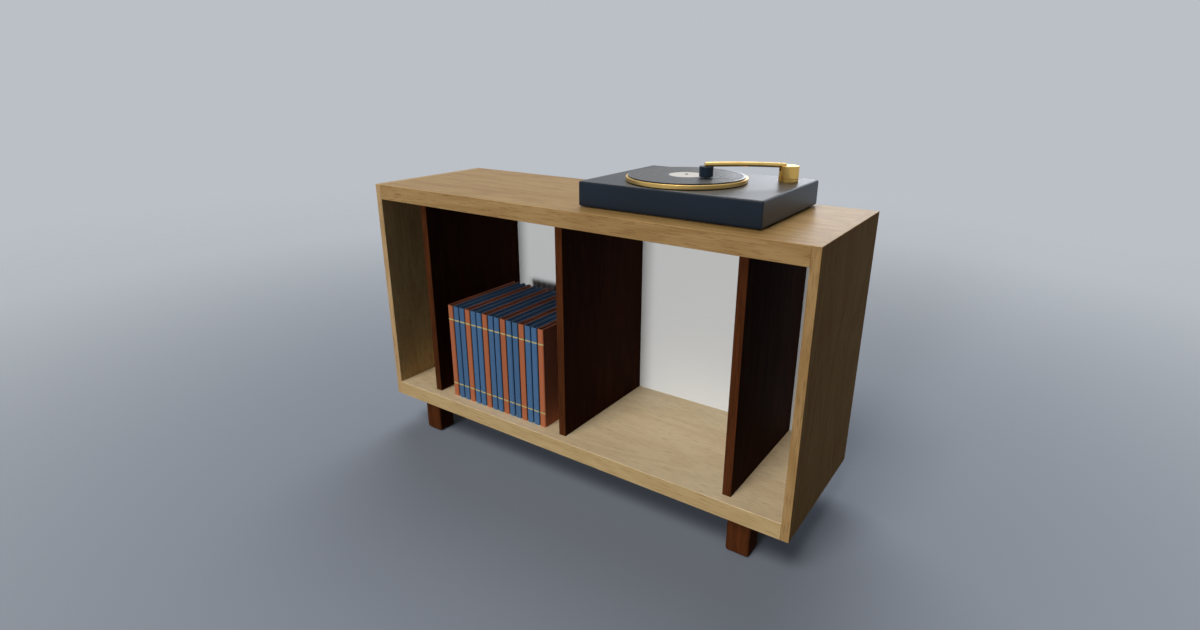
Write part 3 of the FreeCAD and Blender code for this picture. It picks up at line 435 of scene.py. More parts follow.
# %% [markdown]
# ## Lacquer, metal and paint
# The record player's case and headshell are sprayed with a dark slate-blue satin lacquer: a coloured coat
# under a clear one, with the faint orange peel of a spray gun. Brass is turned on a lathe, which leaves
# fine rings round the axis, and stains a little where it is touched. The back panel is rolled with matt
# emulsion paint. Each of these marks is a noise at its own size, too slight to model but plain to see where
# light catches it.

# %% Spray the lacquer


def sprayed(name, base, roughness, coat):
    material, tree, shader, place = new_finish(name, roughness, **{
        "IOR": 1.5, "Specular IOR Level": 0.1, "Coat Weight": coat, "Coat Roughness": 0.36})
    cloud = add(tree, "TexNoise", {"Vector": place, "Scale": per_mm(120), "Detail": 3.0})
    tint = add(tree, "MapRange", {"Value": cloud.outputs["Fac"], **MOST_NOISE, "To Min": 0.9, "To Max": 1.12})
    shade = add(tree, "HueSaturation", {"Value": tint.outputs[0], "Color": colour(base)})
    peel = add(tree, "TexNoise", {"Vector": place, "Scale": per_mm(3), "Detail": 1.0})
    relief = add(tree, "Bump", {"Strength": 0.06, "Distance": 0.05 * MM, "Height": peel.outputs["Fac"]})
    wire(tree, shader, {"Base Color": shade.outputs[0], "Normal": relief.outputs[0]})
    return material


slate_lacquer = sprayed("slate_blue_lacquer", "#07131E", 0.48, 0.6)
head_lacquer = sprayed("slate_blue_lacquer_headshell", "#101A24", 0.45, 0.3)
print("lacquers:", slate_lacquer.name, head_lacquer.name)

# %% Turn the metals
TOOL_MARK_MM = 1.2  # a tenth of a millimetre on the real brass, drawn wider to show
MIDDLE = (0, 0)
FAR_BEHIND = (0.125, 0.866)  # rings about a far-off point cross the sockets' level axis nearly straight


def distance_from(tree, place, centre):
    """How far each point lies from an upright axis, which tool marks and grooves follow."""
    about = add(tree, "VectorMath", {0: place, 1: (*centre, 0)}, operation="SUBTRACT")
    flat = add(tree, "VectorMath", {0: about.outputs[0], 1: (1, 1, 0)}, operation="MULTIPLY")
    return add(tree, "VectorMath", {0: flat.outputs[0]}, operation="LENGTH").outputs["Value"]


def turned_metal(name, base, dull, roughness, centre):
    material, tree, shader, place = new_finish(name, roughness, **{"Metallic": 1.0})
    marks = add(tree, "TexNoise", {"W": distance_from(tree, place, centre), "Scale": per_mm(TOOL_MARK_MM),
                                   "Detail": 2.0}, noise_dimensions="1D")
    stain = add(tree, "TexNoise", {"Vector": place, "Scale": per_mm(25), "Detail": 4.0})
    stain_and_painted_shade = add(tree, "MapRange", {"Value": stain.outputs["Fac"], "From Min": 0.35, "From Max": 0.75,
                                 "To Min": 0.0, "To Max": 0.55})
    tone = add(tree, "Mix", {0: stain_and_painted_shade.outputs[0], 6: colour(base), 7: colour(dull)}, data_type="RGBA")
    gloss = add(tree, "MapRange", {"Value": stain.outputs["Fac"], **MOST_NOISE,
                                   "To Min": roughness - 0.05, "To Max": roughness + 0.07})
    relief = add(tree, "Bump", {"Strength": 0.12, "Distance": 0.05 * MM, "Height": marks.outputs["Fac"]})
    wire(tree, shader, {"Base Color": tone.outputs[2], "Roughness": gloss.outputs[0],
                        "Normal": relief.outputs[0]})
    return material


platter_brass = turned_metal("brass_turned_platter", "#F2CA7C", "#DCB162", 0.34, PLATTER_AT)
column_brass = turned_metal("brass_turned_column", "#F2C670", "#DCAC56", 0.34, PIVOT_AT)
tube_brass = turned_metal("brass_drawn_tube", "#F4CE80", "#DDB05A", 0.36, MIDDLE)
spindle_steel = turned_metal("steel_ground_spindle", "#C9CACC", "#9C9EA2", 0.2, PLATTER_AT)
fastener_steel = turned_metal("steel_zinc_plated", "#B4B6B8", "#8B8E92", 0.34, MIDDLE)
socket_nickel = turned_metal("nickel_plated_socket", "#D8D4CB", "#ABA69B", 0.2, FAR_BEHIND)
print("metals have tool marks", TOOL_MARK_MM, "mm apart")

# %% Mix the paint, plastic, rubber and felt


def plain_coat(name, base, other, grit_mm, roughness, relief_mm, **sockets):
    """A finish of two close tones in a fine grit, with its relief."""
    material, tree, shader, place = new_finish(name, roughness, **sockets)
    grit = add(tree, "TexNoise", {"Vector": place, "Scale": per_mm(grit_mm), "Detail": 4.0})
    share = add(tree, "MapRange", {"Value": grit.outputs["Fac"], **MOST_NOISE})
    tone = add(tree, "Mix", {0: share.outputs[0], 6: colour(base), 7: colour(other)}, data_type="RGBA")
    relief = add(tree, "Bump", {"Strength": 0.3, "Distance": relief_mm * MM, "Height": grit.outputs["Fac"]})
    wire(tree, shader, {"Base Color": tone.outputs[2], "Normal": relief.outputs[0]})
    return material


emulsion = plain_coat("emulsion_off_white", "#D0D1CB", "#CACBC5", 3, 0.75, 0.05)
black_plastic = plain_coat("abs_moulded_black", "#1B1C1F", "#141517", 1.5, 0.5, 0.04)
stained_board = plain_coat("fibreboard_stained_black", "#211E1B", "#191614", 2, 0.8, 0.1)
soft_rubber = plain_coat("rubber_soft_black", "#1A1A1A", "#111111", 2, 0.85, 0.05)
wool_felt = plain_coat("wool_felt_grey", "#5A554E", "#403C37", 1.5, 0.95, 0.3, **{"Sheen Weight": 0.4})
mat_felt = plain_coat("wool_felt_slip_mat", "#1C1C1F", "#121214", 1.5, 0.95, 0.3, **{"Sheen Weight": 0.3})
motor_coat = plain_coat("enamel_grey_motor", "#62666B", "#56595E", 3, 0.45, 0.04)
print("plain finishes:", emulsion.name, black_plastic.name, wool_felt.name)

# %% [markdown]
# ## Vinyl and label
# A pressed record is glossy black plastic. Its playing surface is one spiral groove a tenth of a millimetre
# from turn to turn, drawn here about 0.9 mm apart so that it shows, and quiet bands between the tracks stay
# smooth. As geometry the groove would need millions of faces, so it is a wave in the relief that follows
# the distance from the spindle. The label is plain uncoated paper, pressed in with the vinyl.

# %% Make the record's finishes
GROOVE_MM = 0.9
PASSAGE_MM = 5


def vinyl(name, groove_strength, roughness):
    material, tree, shader, place = new_finish(name, roughness, **{
        "IOR": 1.54, "Coat Weight": 0.2, "Coat Roughness": 0.3})
    radius = distance_from(tree, place, PLATTER_AT)
    turns = add(tree, "Math", {0: radius, 1: 2 * math.pi * per_mm(GROOVE_MM)}, operation="MULTIPLY")
    groove = add(tree, "Math", {0: turns.outputs[0]}, operation="SINE")
    loudness = add(tree, "TexNoise", {"W": radius, "Scale": per_mm(PASSAGE_MM), "Detail": 3.0},
                   noise_dimensions="1D")
    swing = add(tree, "Math", {0: groove.outputs[0], 1: loudness.outputs["Fac"]}, operation="MULTIPLY")
    tone = add(tree, "Mix", {0: loudness.outputs["Fac"], 6: colour("#0B0C0E"), 7: colour("#17181B")},
               data_type="RGBA")
    gloss = add(tree, "MapRange", {"Value": loudness.outputs["Fac"], **MOST_NOISE,
                                   "To Min": roughness - 0.04, "To Max": roughness + 0.06})
    relief = add(tree, "Bump", {"Strength": groove_strength, "Distance": 0.08 * MM,
                                "Height": swing.outputs[0]})
    wire(tree, shader, {"Base Color": tone.outputs[2], "Roughness": gloss.outputs[0],
                        "Normal": relief.outputs[0]})
    return material


grooved_vinyl = vinyl("vinyl_pressed_grooves", 0.35, 0.46)
smooth_vinyl = vinyl("vinyl_pressed_smooth", 0.0, 0.26)
label_paper = plain_coat("paper_uncoated_label", "#E6E6E3", "#DCDBD7", 1.2, 0.8, 0.06)
print("record finishes:", grooved_vinyl.name, smooth_vinyl.name, label_paper.name)

# %% [markdown]
# ## Book cloth, foil and sleeve edges
# Albums are bound in book cloth: a plain weave of threads about 0.7 mm apart, drawn 1.4 mm apart here, and
# dyed in batches, so that no two spines match exactly. Two crossed waves make the weave. The faces of the
# boards that point sideways are painted brighter than the spines, which is painted light on sides that stand
# in shade.
# The bands are pressed with pale gold foil. The edges of the sleeves inside show as fine lines.

# %% Weave the book cloth
ALBUM_PITCH = round(corners("album_02")[0].x - corners("album_01")[0].x, 4)
THREAD_MM = 1.4
SLUB_MM = 9
# How much brighter the sideways faces of the boards are painted: painted light.
BOARD_PAINTED_LIGHT = 1.5


def book_cloth(name, base, thread):
    material, tree, shader, place = new_finish(name, 0.82, **{
        "Specular IOR Level": 0.25, "Sheen Weight": 0.06, "Sheen Roughness": 0.5})
    pitch = 2 * math.pi * per_mm(THREAD_MM)
    axes = add(tree, "SeparateXYZ", {0: place})
    across = add(tree, "Math", {0: axes.outputs[0], 1: axes.outputs[1]})
    warp_turn = add(tree, "Math", {0: across.outputs[0], 1: pitch}, operation="MULTIPLY")
    weft_turn = add(tree, "Math", {0: axes.outputs[2], 1: pitch}, operation="MULTIPLY")
    warp = add(tree, "Math", {0: warp_turn.outputs[0]}, operation="SINE")
    weft = add(tree, "Math", {0: weft_turn.outputs[0]}, operation="SINE")
    weave = add(tree, "Math", {0: warp.outputs[0], 1: weft.outputs[0]}, operation="MULTIPLY")
    slub = add(tree, "TexNoise", {"Vector": place, "Scale": per_mm(SLUB_MM), "Detail": 5.0,
                                  "Roughness": 0.7})
    thread_share = add(tree, "MapRange", {"Value": weave.outputs[0], "From Min": -1.0, "From Max": 1.0,
                                          "To Min": 0.0, "To Max": 1.1})
    share = add(tree, "Math", {0: thread_share.outputs[0], 1: slub.outputs["Fac"]}, operation="MULTIPLY")
    cloth = add(tree, "Mix", {0: share.outputs[0], 6: colour(base), 7: colour(thread)}, data_type="RGBA")
    batch = add(tree, "Math", {0: axes.outputs[0], 1: ALBUM_PITCH}, operation="SNAP")
    batch_draw = add(tree, "TexWhiteNoise", {"W": batch.outputs[0]}, noise_dimensions="1D")
    fade = add(tree, "MapRange", {"Value": batch_draw.outputs["Value"], "To Min": 0.9, "To Max": 1.08})
    # Painted light: faces that point sideways, the sides of the boards, are brightened by a set factor.
    facing = add(tree, "SeparateXYZ", {0: add(tree, "TexCoord").outputs["Normal"]})
    sideways = add(tree, "Math", {0: facing.outputs[0]}, operation="ABSOLUTE")
    painted_light_on_boards = add(tree, "MapRange", {"Value": sideways.outputs[0], "From Min": 0.7, "From Max": 0.95,
                                 "To Min": 1.0, "To Max": BOARD_PAINTED_LIGHT})
    shade = add(tree, "Math", {0: fade.outputs[0], 1: painted_light_on_boards.outputs[0]}, operation="MULTIPLY")
    cloth_with_painted_light = add(tree, "HueSaturation", {"Value": shade.outputs[0], "Color": cloth.outputs[2]})
    relief = add(tree, "Bump", {"Strength": 0.35, "Distance": 0.2 * MM, "Height": weave.outputs[0]})
    wire(tree, shader, {"Base Color": cloth_with_painted_light.outputs[0], "Normal": relief.outputs[0]})
    return material


terracotta_cloth = book_cloth("book_cloth_terracotta", "#8E4C2E", "#A86A48")
blue_cloth = book_cloth("book_cloth_blue", "#345271", "#4C6C8C")
print("albums stand", ALBUM_PITCH / MM, "mm apart, in", terracotta_cloth.name, "and", blue_cloth.name)

# %% Cut the sleeves' card and press the foil
CARD_MM = 0.8


def sleeve_edge(name, base, line):
    material, tree, shader, place = new_finish(name, 0.8)
    axes = add(tree, "SeparateXYZ", {0: place})
    leaf = add(tree, "TexNoise", {"W": axes.outputs[0], "Scale": per_mm(CARD_MM), "Detail": 1.0},
               noise_dimensions="1D")
    share = add(tree, "MapRange", {"Value": leaf.outputs["Fac"], **MOST_NOISE})
    card = add(tree, "Mix", {0: share.outputs[0], 6: colour(base), 7: colour(line)}, data_type="RGBA")
    relief = add(tree, "Bump", {"Strength": 0.3, "Distance": 0.2 * MM, "Height": leaf.outputs["Fac"]})
    wire(tree, shader, {"Base Color": card.outputs[2], "Normal": relief.outputs[0]})
    return material


terracotta_leaves = sleeve_edge("card_sleeves_maroon", "#5C2D20", "#391810")
blue_leaves = sleeve_edge("card_sleeves_navy", "#2B476B", "#172B47")
gold_foil = plain_coat("foil_pale_gold", "#D9CE92", "#C2B270", 2, 0.38, 0.05, **{"Metallic": 0.55})
print("sleeves and foil:", terracotta_leaves.name, blue_leaves.name, gold_foil.name)

# %% [markdown]
# ## Dress the solid pieces
# Boards, panels and hidden fittings already have their true shape in the solid model, with eased edges,
# grooves and rebates, so they stay and only change their finish.

# %% Give the solid pieces their finishes
DRESS = {
    oak_top: ["top_board"],
    oak_shelf: ["bottom_board"],
    oak_left: ["left_side"],
    oak_right: ["right_side"],
    walnut_upright: ["divider_left", "divider_middle", "divider_right"],
    emulsion: ["back_panel"],
    beech: ["carcass_dowels"],
    fastener_steel: ["foot_bolts", "deck_screws", "arm_base_nut"],
    stained_board: ["plinth_base"],
    soft_rubber: ["plinth_feet", "drive_belt"],
    column_brass: ["main_bearing", "motor_pulley", "arm_block"],
    black_plastic: ["sub_platter", "cartridge"],
    mat_felt: ["slip_mat"],
    motor_coat: ["motor"],
    spindle_steel: ["motor_shaft", "arm_pivot_shaft", "lift_pin", "stylus"],
}
for finish, nodes in DRESS.items():
    for node in nodes:
        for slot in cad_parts[node].material_slots:
            slot.material = finish
print(sum(map(len, DRESS.values())), "solid pieces are dressed")

# %% [markdown]
# ## Feet
# Each foot is a sawn walnut block with its edges rounded over. A cube is beveled along every edge but the
# four that meet the cabinet. A bevel leaves the faces flat, which a smoothed cube would not. A felt glide
# is turned for the underside.

# %% Shape the feet and their glides
FOOT_ROUND = 7 * MM
GLIDE = in_mm((0, 0), (19, 0), (20, 1), (20, 4), (0, 4))
glides = []
for edge in ("front", "rear"):
    for side in ("left", "right"):
        node = f"foot_{edge}_{side}"
        low, high = corners(node)
        foot = new_block(node + "_block", low, high)
        pick(foot, "EDGE", lambda item: middle_of(item).z < high.z - MM)
        bpy.ops.mesh.bevel(offset=FOOT_ROUND, segments=6, affect="EDGES")
        hand_over(foot, "cabinet", "walnut", node, walnut_feet)
        glides.append(turn(node + "_glide", GLIDE, axis_of(node), 64))
hand_over(join(glides, "felt_glides"), "cabinet", "felt", "floor_glides", wool_felt)

# %% [markdown]
# ## Albums
# An album is a case: two cloth-covered boards and a rounded spine, folded round a stack of sleeves. The
# cover starts as a cube with its top, bottom and fore-edge faces taken away, which leaves a U. The spine's
# edges are rounded, a hinge groove is pressed beside it, and the boards get their thickness. One album is
# modelled, and the row is made of copies in two colours.

# %% Fold the cover
SPINE_ROUND = 3 * MM
HINGE_AT = 9 * MM
HINGE_HALF = 3 * MM
HINGE_DEPTH = 0.9 * MM
NEAR = 0.05 * MM

low, high = corners("album_01")
cover = new_block("album_cover", low, high)
pick(cover, "FACE", lambda face: abs(face.normal.z) > 0.9 or face.normal.y > 0.9)
bpy.ops.mesh.delete(type="FACE")
half_up = (low.z + high.z) / 2
pick(cover, "EDGE", lambda edge: (middle_of(edge).yz - Vector((low.y, half_up))).length < NEAR
     and abs(middle_of(edge).x - (low.x + high.x) / 2) > NEAR)
bpy.ops.mesh.bevel(offset=SPINE_ROUND, segments=5, affect="EDGES")
for depth in (HINGE_AT - HINGE_HALF, HINGE_AT, HINGE_AT + HINGE_HALF):
    bpy.ops.mesh.select_all(action="SELECT")
    bpy.ops.mesh.bisect(plane_co=(0, low.y + depth, 0), plane_no=(0, 1, 0))
hinge = low.y + HINGE_AT
for side, way in ((low.x, 1), (high.x, -1)):
    pick(cover, "VERT", lambda point: abs(point.co.y - hinge) < NEAR and abs(point.co.x - side) < NEAR)
    bpy.ops.transform.translate(value=(way * HINGE_DEPTH, 0, 0))
print("cover is", round((high.x - low.x) / MM, 1), "mm thick")

# %% Press the foil bands
BOARD = 2.6 * MM
BAND_FROM_END = 46 * MM
BAND_HALF = 2.2 * MM
BAND_RAISED = 0.35 * MM
BANDS = (low.z + BAND_FROM_END, high.z - BAND_FROM_END)

for band in BANDS:
    for level in (band - BAND_HALF, band + BAND_HALF):
        bpy.ops.mesh.select_all(action="SELECT")
        bpy.ops.mesh.bisect(plane_co=(0, 0, level), plane_no=(0, 0, 1))
face_outwards(cover)
use_modifier(cover, "SOLIDIFY", thickness=BOARD, offset=-1.0, use_even_offset=True)
for finish in (terracotta_cloth, gold_foil, terracotta_leaves):
    cover.data.materials.append(finish)


def on_band(face):
    middle = face.calc_center_median()
    outside = face.normal.y < -0.2 and middle.y < low.y + SPINE_ROUND and abs(face.normal.z) < 0.1
    return outside and min(abs(middle.z - band) for band in BANDS) < BAND_HALF


found = pick(cover, "FACE", on_band)
cover.active_material_index = 1
bpy.ops.object.material_slot_assign()
bpy.ops.mesh.extrude_region_shrink_fatten(TRANSFORM_OT_shrink_fatten={"value": BAND_RAISED})
bpy.ops.object.mode_set(mode="OBJECT")
print("cover has", found, "foiled faces")

# %% Fill it with sleeves
SLEEVES = 8
SLEEVE_INSET = 3.5 * MM
SLEEVE_GAP = 0.15 * MM
SLEEVE_EDGE = 0.4 * MM
SPINE_GAP = 0.5 * MM
SAG_STEP = 0.45 * MM

inner_low = low + Vector((BOARD, BOARD + SPINE_GAP, SLEEVE_INSET))
inner_high = high - Vector((BOARD, SLEEVE_INSET, SLEEVE_INSET))
sleeve_pitch = (inner_high.x - inner_low.x) / SLEEVES
sleeves = []
for index in range(SLEEVES):
    sag = (index * 7 % 5) * SAG_STEP
    start = Vector((inner_low.x + index * sleeve_pitch, inner_low.y, inner_low.z))
    end = Vector((start.x + sleeve_pitch - SLEEVE_GAP, inner_high.y - sag, inner_high.z - sag))
    sleeve = new_block(f"sleeve_{index}", start, end)
    soften(sleeve, SLEEVE_EDGE, 1)
    sleeve.data.materials.append(terracotta_leaves)
    sleeves.append(sleeve)
album_model = join([cover, *sleeves], "album_model")
print("album model uses", [slot.material.name for slot in album_model.material_slots])

# %% Copy it along the row
ALBUM_COUNT = 16
BLUE_FOR = {terracotta_cloth: blue_cloth, terracotta_leaves: blue_leaves}
for index in range(ALBUM_COUNT):
    node = f"album_{index + 1:02d}"
    album = copy_piece(album_model, node + "_bound", (index * ALBUM_PITCH, 0, 0))
    is_blue = index % 3 != 0
    if is_blue:
        for slot in album.material_slots:
            slot.material = BLUE_FOR.get(slot.material, slot.material)
    hand_over(album, node + "_body", "album_blue" if is_blue else "album_terracotta", node)
discard(album_model)

# %% [markdown]
# ## Plinth
# The record player's case is a box with all its edges rounded over and then sprayed. The box is a beveled
# cube. Cutters take out the inside from below, the well for the drive under the platter and the holes for
# the bearing, the motor and the arm post, because each hole has to fit the piece that passes through it.
# The well is the outline of two circles drawn together.

# %% Shape the case
PLINTH_ROUND = 6 * MM
PLINTH_WALL = 12 * MM
PLINTH_ROOF = 20 * MM
OVERRUN = 5 * MM  # how far a cutter stands out of what it cuts


def cut(piece, cutter):
    """Take the shape of a cutter out of a piece, and throw the cutter away."""
    use_modifier(piece, "BOOLEAN", object=cutter, operation="DIFFERENCE", solver="EXACT")
    discard(cutter)


low, high = corners("plinth_body")
deck_level = high.z
plinth = new_block("plinth_case", low, high)
pick(plinth, "EDGE", lambda edge: True)
bpy.ops.mesh.bevel(offset=PLINTH_ROUND, segments=8, affect="EDGES")
inside_low = low + Vector((PLINTH_WALL, PLINTH_WALL, -OVERRUN))
inside_high = high - Vector((PLINTH_WALL, PLINTH_WALL, PLINTH_ROOF))
cut(plinth, new_block("cutter", inside_low, inside_high))
print("case has walls of", round(PLINTH_WALL / MM), "mm under a deck at", round(deck_level, 3), "m")

# %% Cut the well and the holes
WELL_DEPTH = 13 * MM
WELL_RADIUS = 79 * MM
MOTOR_WELL_RADIUS = 13 * MM
BEARING_HOLE = 11.1 * MM
SHAFT_HOLE = 5.5 * MM
POST_HOLE = 6.1 * MM
HOLE_DEPTH = 30 * MM


def round_cutter(centre, radius, depth, sides=96):
    bottom = deck_level - depth
    top = deck_level + OVERRUN
    clear_selection()
    bpy.ops.mesh.primitive_cylinder_add(vertices=sides, radius=radius, depth=top - bottom,
                                        location=(*centre, (top + bottom) / 2))
    cutter = name_piece(bpy.context.object, "cutter")
    settle(cutter)
    return cutter


well = join([round_cutter(PLATTER_AT, WELL_RADIUS, WELL_DEPTH),
             round_cutter(MOTOR_AT, MOTOR_WELL_RADIUS, WELL_DEPTH)], "cutter")
pick(well, "VERT", lambda point: True)
bpy.ops.mesh.convex_hull()
face_outwards(well)
cut(plinth, well)
for centre, radius in ((PLATTER_AT, BEARING_HOLE), (MOTOR_AT, SHAFT_HOLE), (PIVOT_AT, POST_HOLE)):
    cut(plinth, round_cutter(centre, radius, HOLE_DEPTH, 48))
hand_over(plinth, "cabinet", "navy_lacquer", "plinth_body", slate_lacquer, 30)

# %% [markdown]
# ## Platter, record and label
# These are all turned or pressed round, so each is a profile spun about the spindle. The record has a
# raised rim, a playing surface a little lower, and quiet bands between tracks that are left smooth.

# %% Spin the platter
low, high = corners("platter")
PLATTER_RADIUS = (high.x - low.x) / 2
PLATTER_HOLE = 5.2 * MM
PLATTER_EDGE = 1.2 * MM
RIM_WIDTH = 10 * MM
WEB = 5.5 * MM
platter = turn("platter_brass", [
    (PLATTER_HOLE, high.z),
    (PLATTER_RADIUS, high.z),
    (PLATTER_RADIUS, low.z),
    (PLATTER_RADIUS - RIM_WIDTH, low.z),
    (PLATTER_RADIUS - RIM_WIDTH, high.z - WEB),
    (PLATTER_HOLE, high.z - WEB),
], PLATTER_AT, 256, ring=True)
soften(platter, PLATTER_EDGE, 4)
hand_over(platter, "platter", "brass", "platter", platter_brass)

# %% Press the record
low, high = corners("record")
under, rim_top = low.z, high.z
RECORD_HOLE = 3.65 * MM
RECORD_RADIUS = 150.5 * MM
RECORD_EDGE = 0.5 * MM
RIM_INSIDE = 147 * MM
LEAD_OUT = 56 * MM
LABEL_LAND = 54 * MM
GROOVE_DROP = 0.15 * MM
BAND_DROP = 0.24 * MM
TRACK_ENDS = [end * MM for end in (58.5, 74, 88.2, 105, 122.5, 145)]
GAP_HALF = 0.8 * MM
SAME_LEVEL = 0.01 * MM
profile = [
    (RECORD_HOLE, under), (RECORD_RADIUS - RECORD_EDGE, under), (RECORD_RADIUS, under + RECORD_EDGE),
    (RECORD_RADIUS, rim_top - RECORD_EDGE), (RECORD_RADIUS - RECORD_EDGE, rim_top), (RIM_INSIDE, rim_top),
]
for outer, inner in zip(TRACK_ENDS[:0:-1], TRACK_ENDS[-2::-1]):
    profile.append((outer - GAP_HALF, rim_top - GROOVE_DROP))
    profile.append((inner + GAP_HALF, rim_top - GROOVE_DROP))
    profile.append((inner, rim_top - BAND_DROP))
profile += [(LEAD_OUT, rim_top - GROOVE_DROP), (LABEL_LAND, rim_top), (RECORD_HOLE, rim_top)]
record = turn("record_vinyl", profile, PLATTER_AT, 256, ring=True)
record.data.materials.append(smooth_vinyl)
record.data.materials.append(grooved_vinyl)


def on_track(face):
    middle = face.calc_center_median()
    reach = (middle.xy - Vector(PLATTER_AT)).length
    level = abs(middle.z - rim_top + GROOVE_DROP) < SAME_LEVEL
    return level and TRACK_ENDS[0] < reach < TRACK_ENDS[-1]


found = pick(record, "FACE", on_track)
record.active_material_index = 1
bpy.ops.object.material_slot_assign()
bpy.ops.object.mode_set(mode="OBJECT")
print("record has", found, "grooved faces")
hand_over(record, "platter", "vinyl", "record")

# %% Lay the label and set the spindle
low, high = corners("record_label")
LABEL_RADIUS = 45 * MM
PRESSED_RING = in_mm((36, 0), (35.5, -0.05), (34.5, -0.05), (34, 0))
label_profile = [(RECORD_HOLE, low.z), (LABEL_RADIUS, low.z), (LABEL_RADIUS, high.z)]
label_profile += [(radius, high.z + drop) for radius, drop in PRESSED_RING]
label_profile.append((RECORD_HOLE, high.z))
label = turn("record_label_paper", label_profile, PLATTER_AT, 128, ring=True)
hand_over(label, "platter", "label_paper", "record_label", label_paper, 20)

low, high = corners("spindle")
SPINDLE_RADIUS = 5 * MM
PIN_RADIUS = 3.55 * MM
DOME = in_mm((3.55, -1.5), (3.3, -0.75), (2.7, -0.25), (1.6, -0.05), (0, 0))
shoulder = corners("platter")[1].z - WEB / 2
spindle_profile = [(0, low.z), (SPINDLE_RADIUS, low.z), (SPINDLE_RADIUS, shoulder), (PIN_RADIUS, shoulder)]
spindle_profile += [(radius, high.z + drop) for radius, drop in DOME]
spindle = turn("spindle_ground", spindle_profile, PLATTER_AT, 64)
hand_over(spindle, "platter", "steel", "spindle", spindle_steel)

# %% [markdown]
# ## Tonearm
# The arm stands on a turned brass drum. Its upper part swivels and is slotted for the arm's block. The tube
# is drawn straight and then bent to a very slight bow, so it is a circle spun through a few degrees about a
# far-off centre. At its end sits a dark headshell, a cup with a shallow saddle for the tube.

# %% Turn the drum
ARM_ANGLE = math.radians(222.5)
ALONG = Vector((math.cos(ARM_ANGLE), math.sin(ARM_ANGLE), 0))
ACROSS = Vector((-ALONG.y, ALONG.x, 0))
PIVOT = Vector((*PIVOT_AT, 0))
BASE_BORE = 6 * MM
BASE_EDGE = 0.5 * MM

low, high = corners("arm_base")
DRUM_RADIUS = (high.x - low.x) / 2
base = turn("arm_base_drum", [
    (BASE_BORE, low.z), (DRUM_RADIUS, low.z), (DRUM_RADIUS, high.z), (BASE_BORE, high.z),
], PIVOT_AT, 96, ring=True)
soften(base, BASE_EDGE, 2)
hand_over(base, "cabinet", "brass", "arm_base", column_brass)

# %% Turn the swivel and cut its slot
SWIVEL_BORE = 6.05 * MM
SWIVEL_EDGE = 0.9 * MM
SLOT_DEPTH = 13.5 * MM
SLOT_WIDTH = 13.4 * MM
SLOT_BACK = 8 * MM
SLOT_REACH = 40 * MM
SLOT_FLOOR = 1.5 * MM

low, high = corners("arm_housing")
bore_top = high.z - SLOT_DEPTH - SLOT_FLOOR
housing = turn("arm_swivel_drum", [
    (SWIVEL_BORE, low.z), (DRUM_RADIUS, low.z), (DRUM_RADIUS, high.z), (0, high.z),
    (0, bore_top), (SWIVEL_BORE, bore_top),
], PIVOT_AT, 96, ring=True)
soften(housing, SWIVEL_EDGE, 3)
slot_cutter = new_block("cutter", (-SLOT_BACK, -SLOT_WIDTH / 2, high.z - SLOT_DEPTH),
                        (SLOT_REACH, SLOT_WIDTH / 2, high.z + OVERRUN))
slot_cutter.rotation_euler.z = ARM_ANGLE
slot_cutter.location = PIVOT
settle(slot_cutter)
cut(housing, slot_cutter)
hand_over(housing, "arm_swivel", "brass", "arm_housing", column_brass)

# %% Bow the tube
BOW_RADIUS = 2700 * MM
TUBE_RADIUS = 6 * MM
TUBE_EDGE = 0.8 * MM
TAIL_ALONG = 10.3 * MM
CREST_ALONG = 190 * MM
NOSE_ALONG = 220.2 * MM
CREST_ABOVE_DECK = 46.3 * MM
bow_centre = PIVOT + ALONG * CREST_ALONG + Vector((0, 0, deck_level + CREST_ABOVE_DECK - BOW_RADIUS))


def on_bow(reach):
    """The point of the arm's bow at a distance from the pivot, and how far it has swung from the crest."""
    swing = math.asin((reach - CREST_ALONG) / BOW_RADIUS)
    return bow_centre + (ALONG * math.sin(swing) + Vector((0, 0, math.cos(swing)))) * BOW_RADIUS, swing


tail, tail_swing = on_bow(TAIL_ALONG)
nose, nose_swing = on_bow(NOSE_ALONG)
tail_heading = ALONG * math.cos(tail_swing) - Vector((0, 0, math.sin(tail_swing)))
clear_selection()
bpy.ops.mesh.primitive_circle_add(vertices=48, radius=TUBE_RADIUS, location=tail)
tube = name_piece(bpy.context.object, "arm_tube_bowed")
tube.rotation_euler = tail_heading.to_track_quat("Z", "Y").to_euler()
settle(tube)
bpy.ops.object.mode_set(mode="EDIT")
bpy.ops.mesh.select_all(action="SELECT")
bpy.ops.mesh.spin(steps=36, angle=tail_swing - nose_swing, center=bow_centre, axis=ACROSS)
for end in (tail, nose):
    pick(tube, "EDGE", lambda edge: edge.is_boundary and (middle_of(edge) - end).length < 1.1 * TUBE_RADIUS)
    bpy.ops.mesh.edge_face_add()
face_outwards(tube)
soften(tube, TUBE_EDGE, 3, 60)
reached = max((point.co - PIVOT).dot(ALONG) for point in tube.data.vertices)
print("tube reaches", round(reached / MM, 1), "mm from the pivot")
hand_over(tube, "arm", "brass", "arm_tube", tube_brass)

# %% Shape the headshell
HEAD_RADIUS = 17.6 * MM
HEAD_WALL = 2.5 * MM
HEAD_EDGE = 1.4 * MM
CROWN = 6 * MM
SADDLE_PLAY = 0.05 * MM
SADDLE_LENGTH = 60 * MM
SADDLE_PAST_NOSE = 0.3 * MM

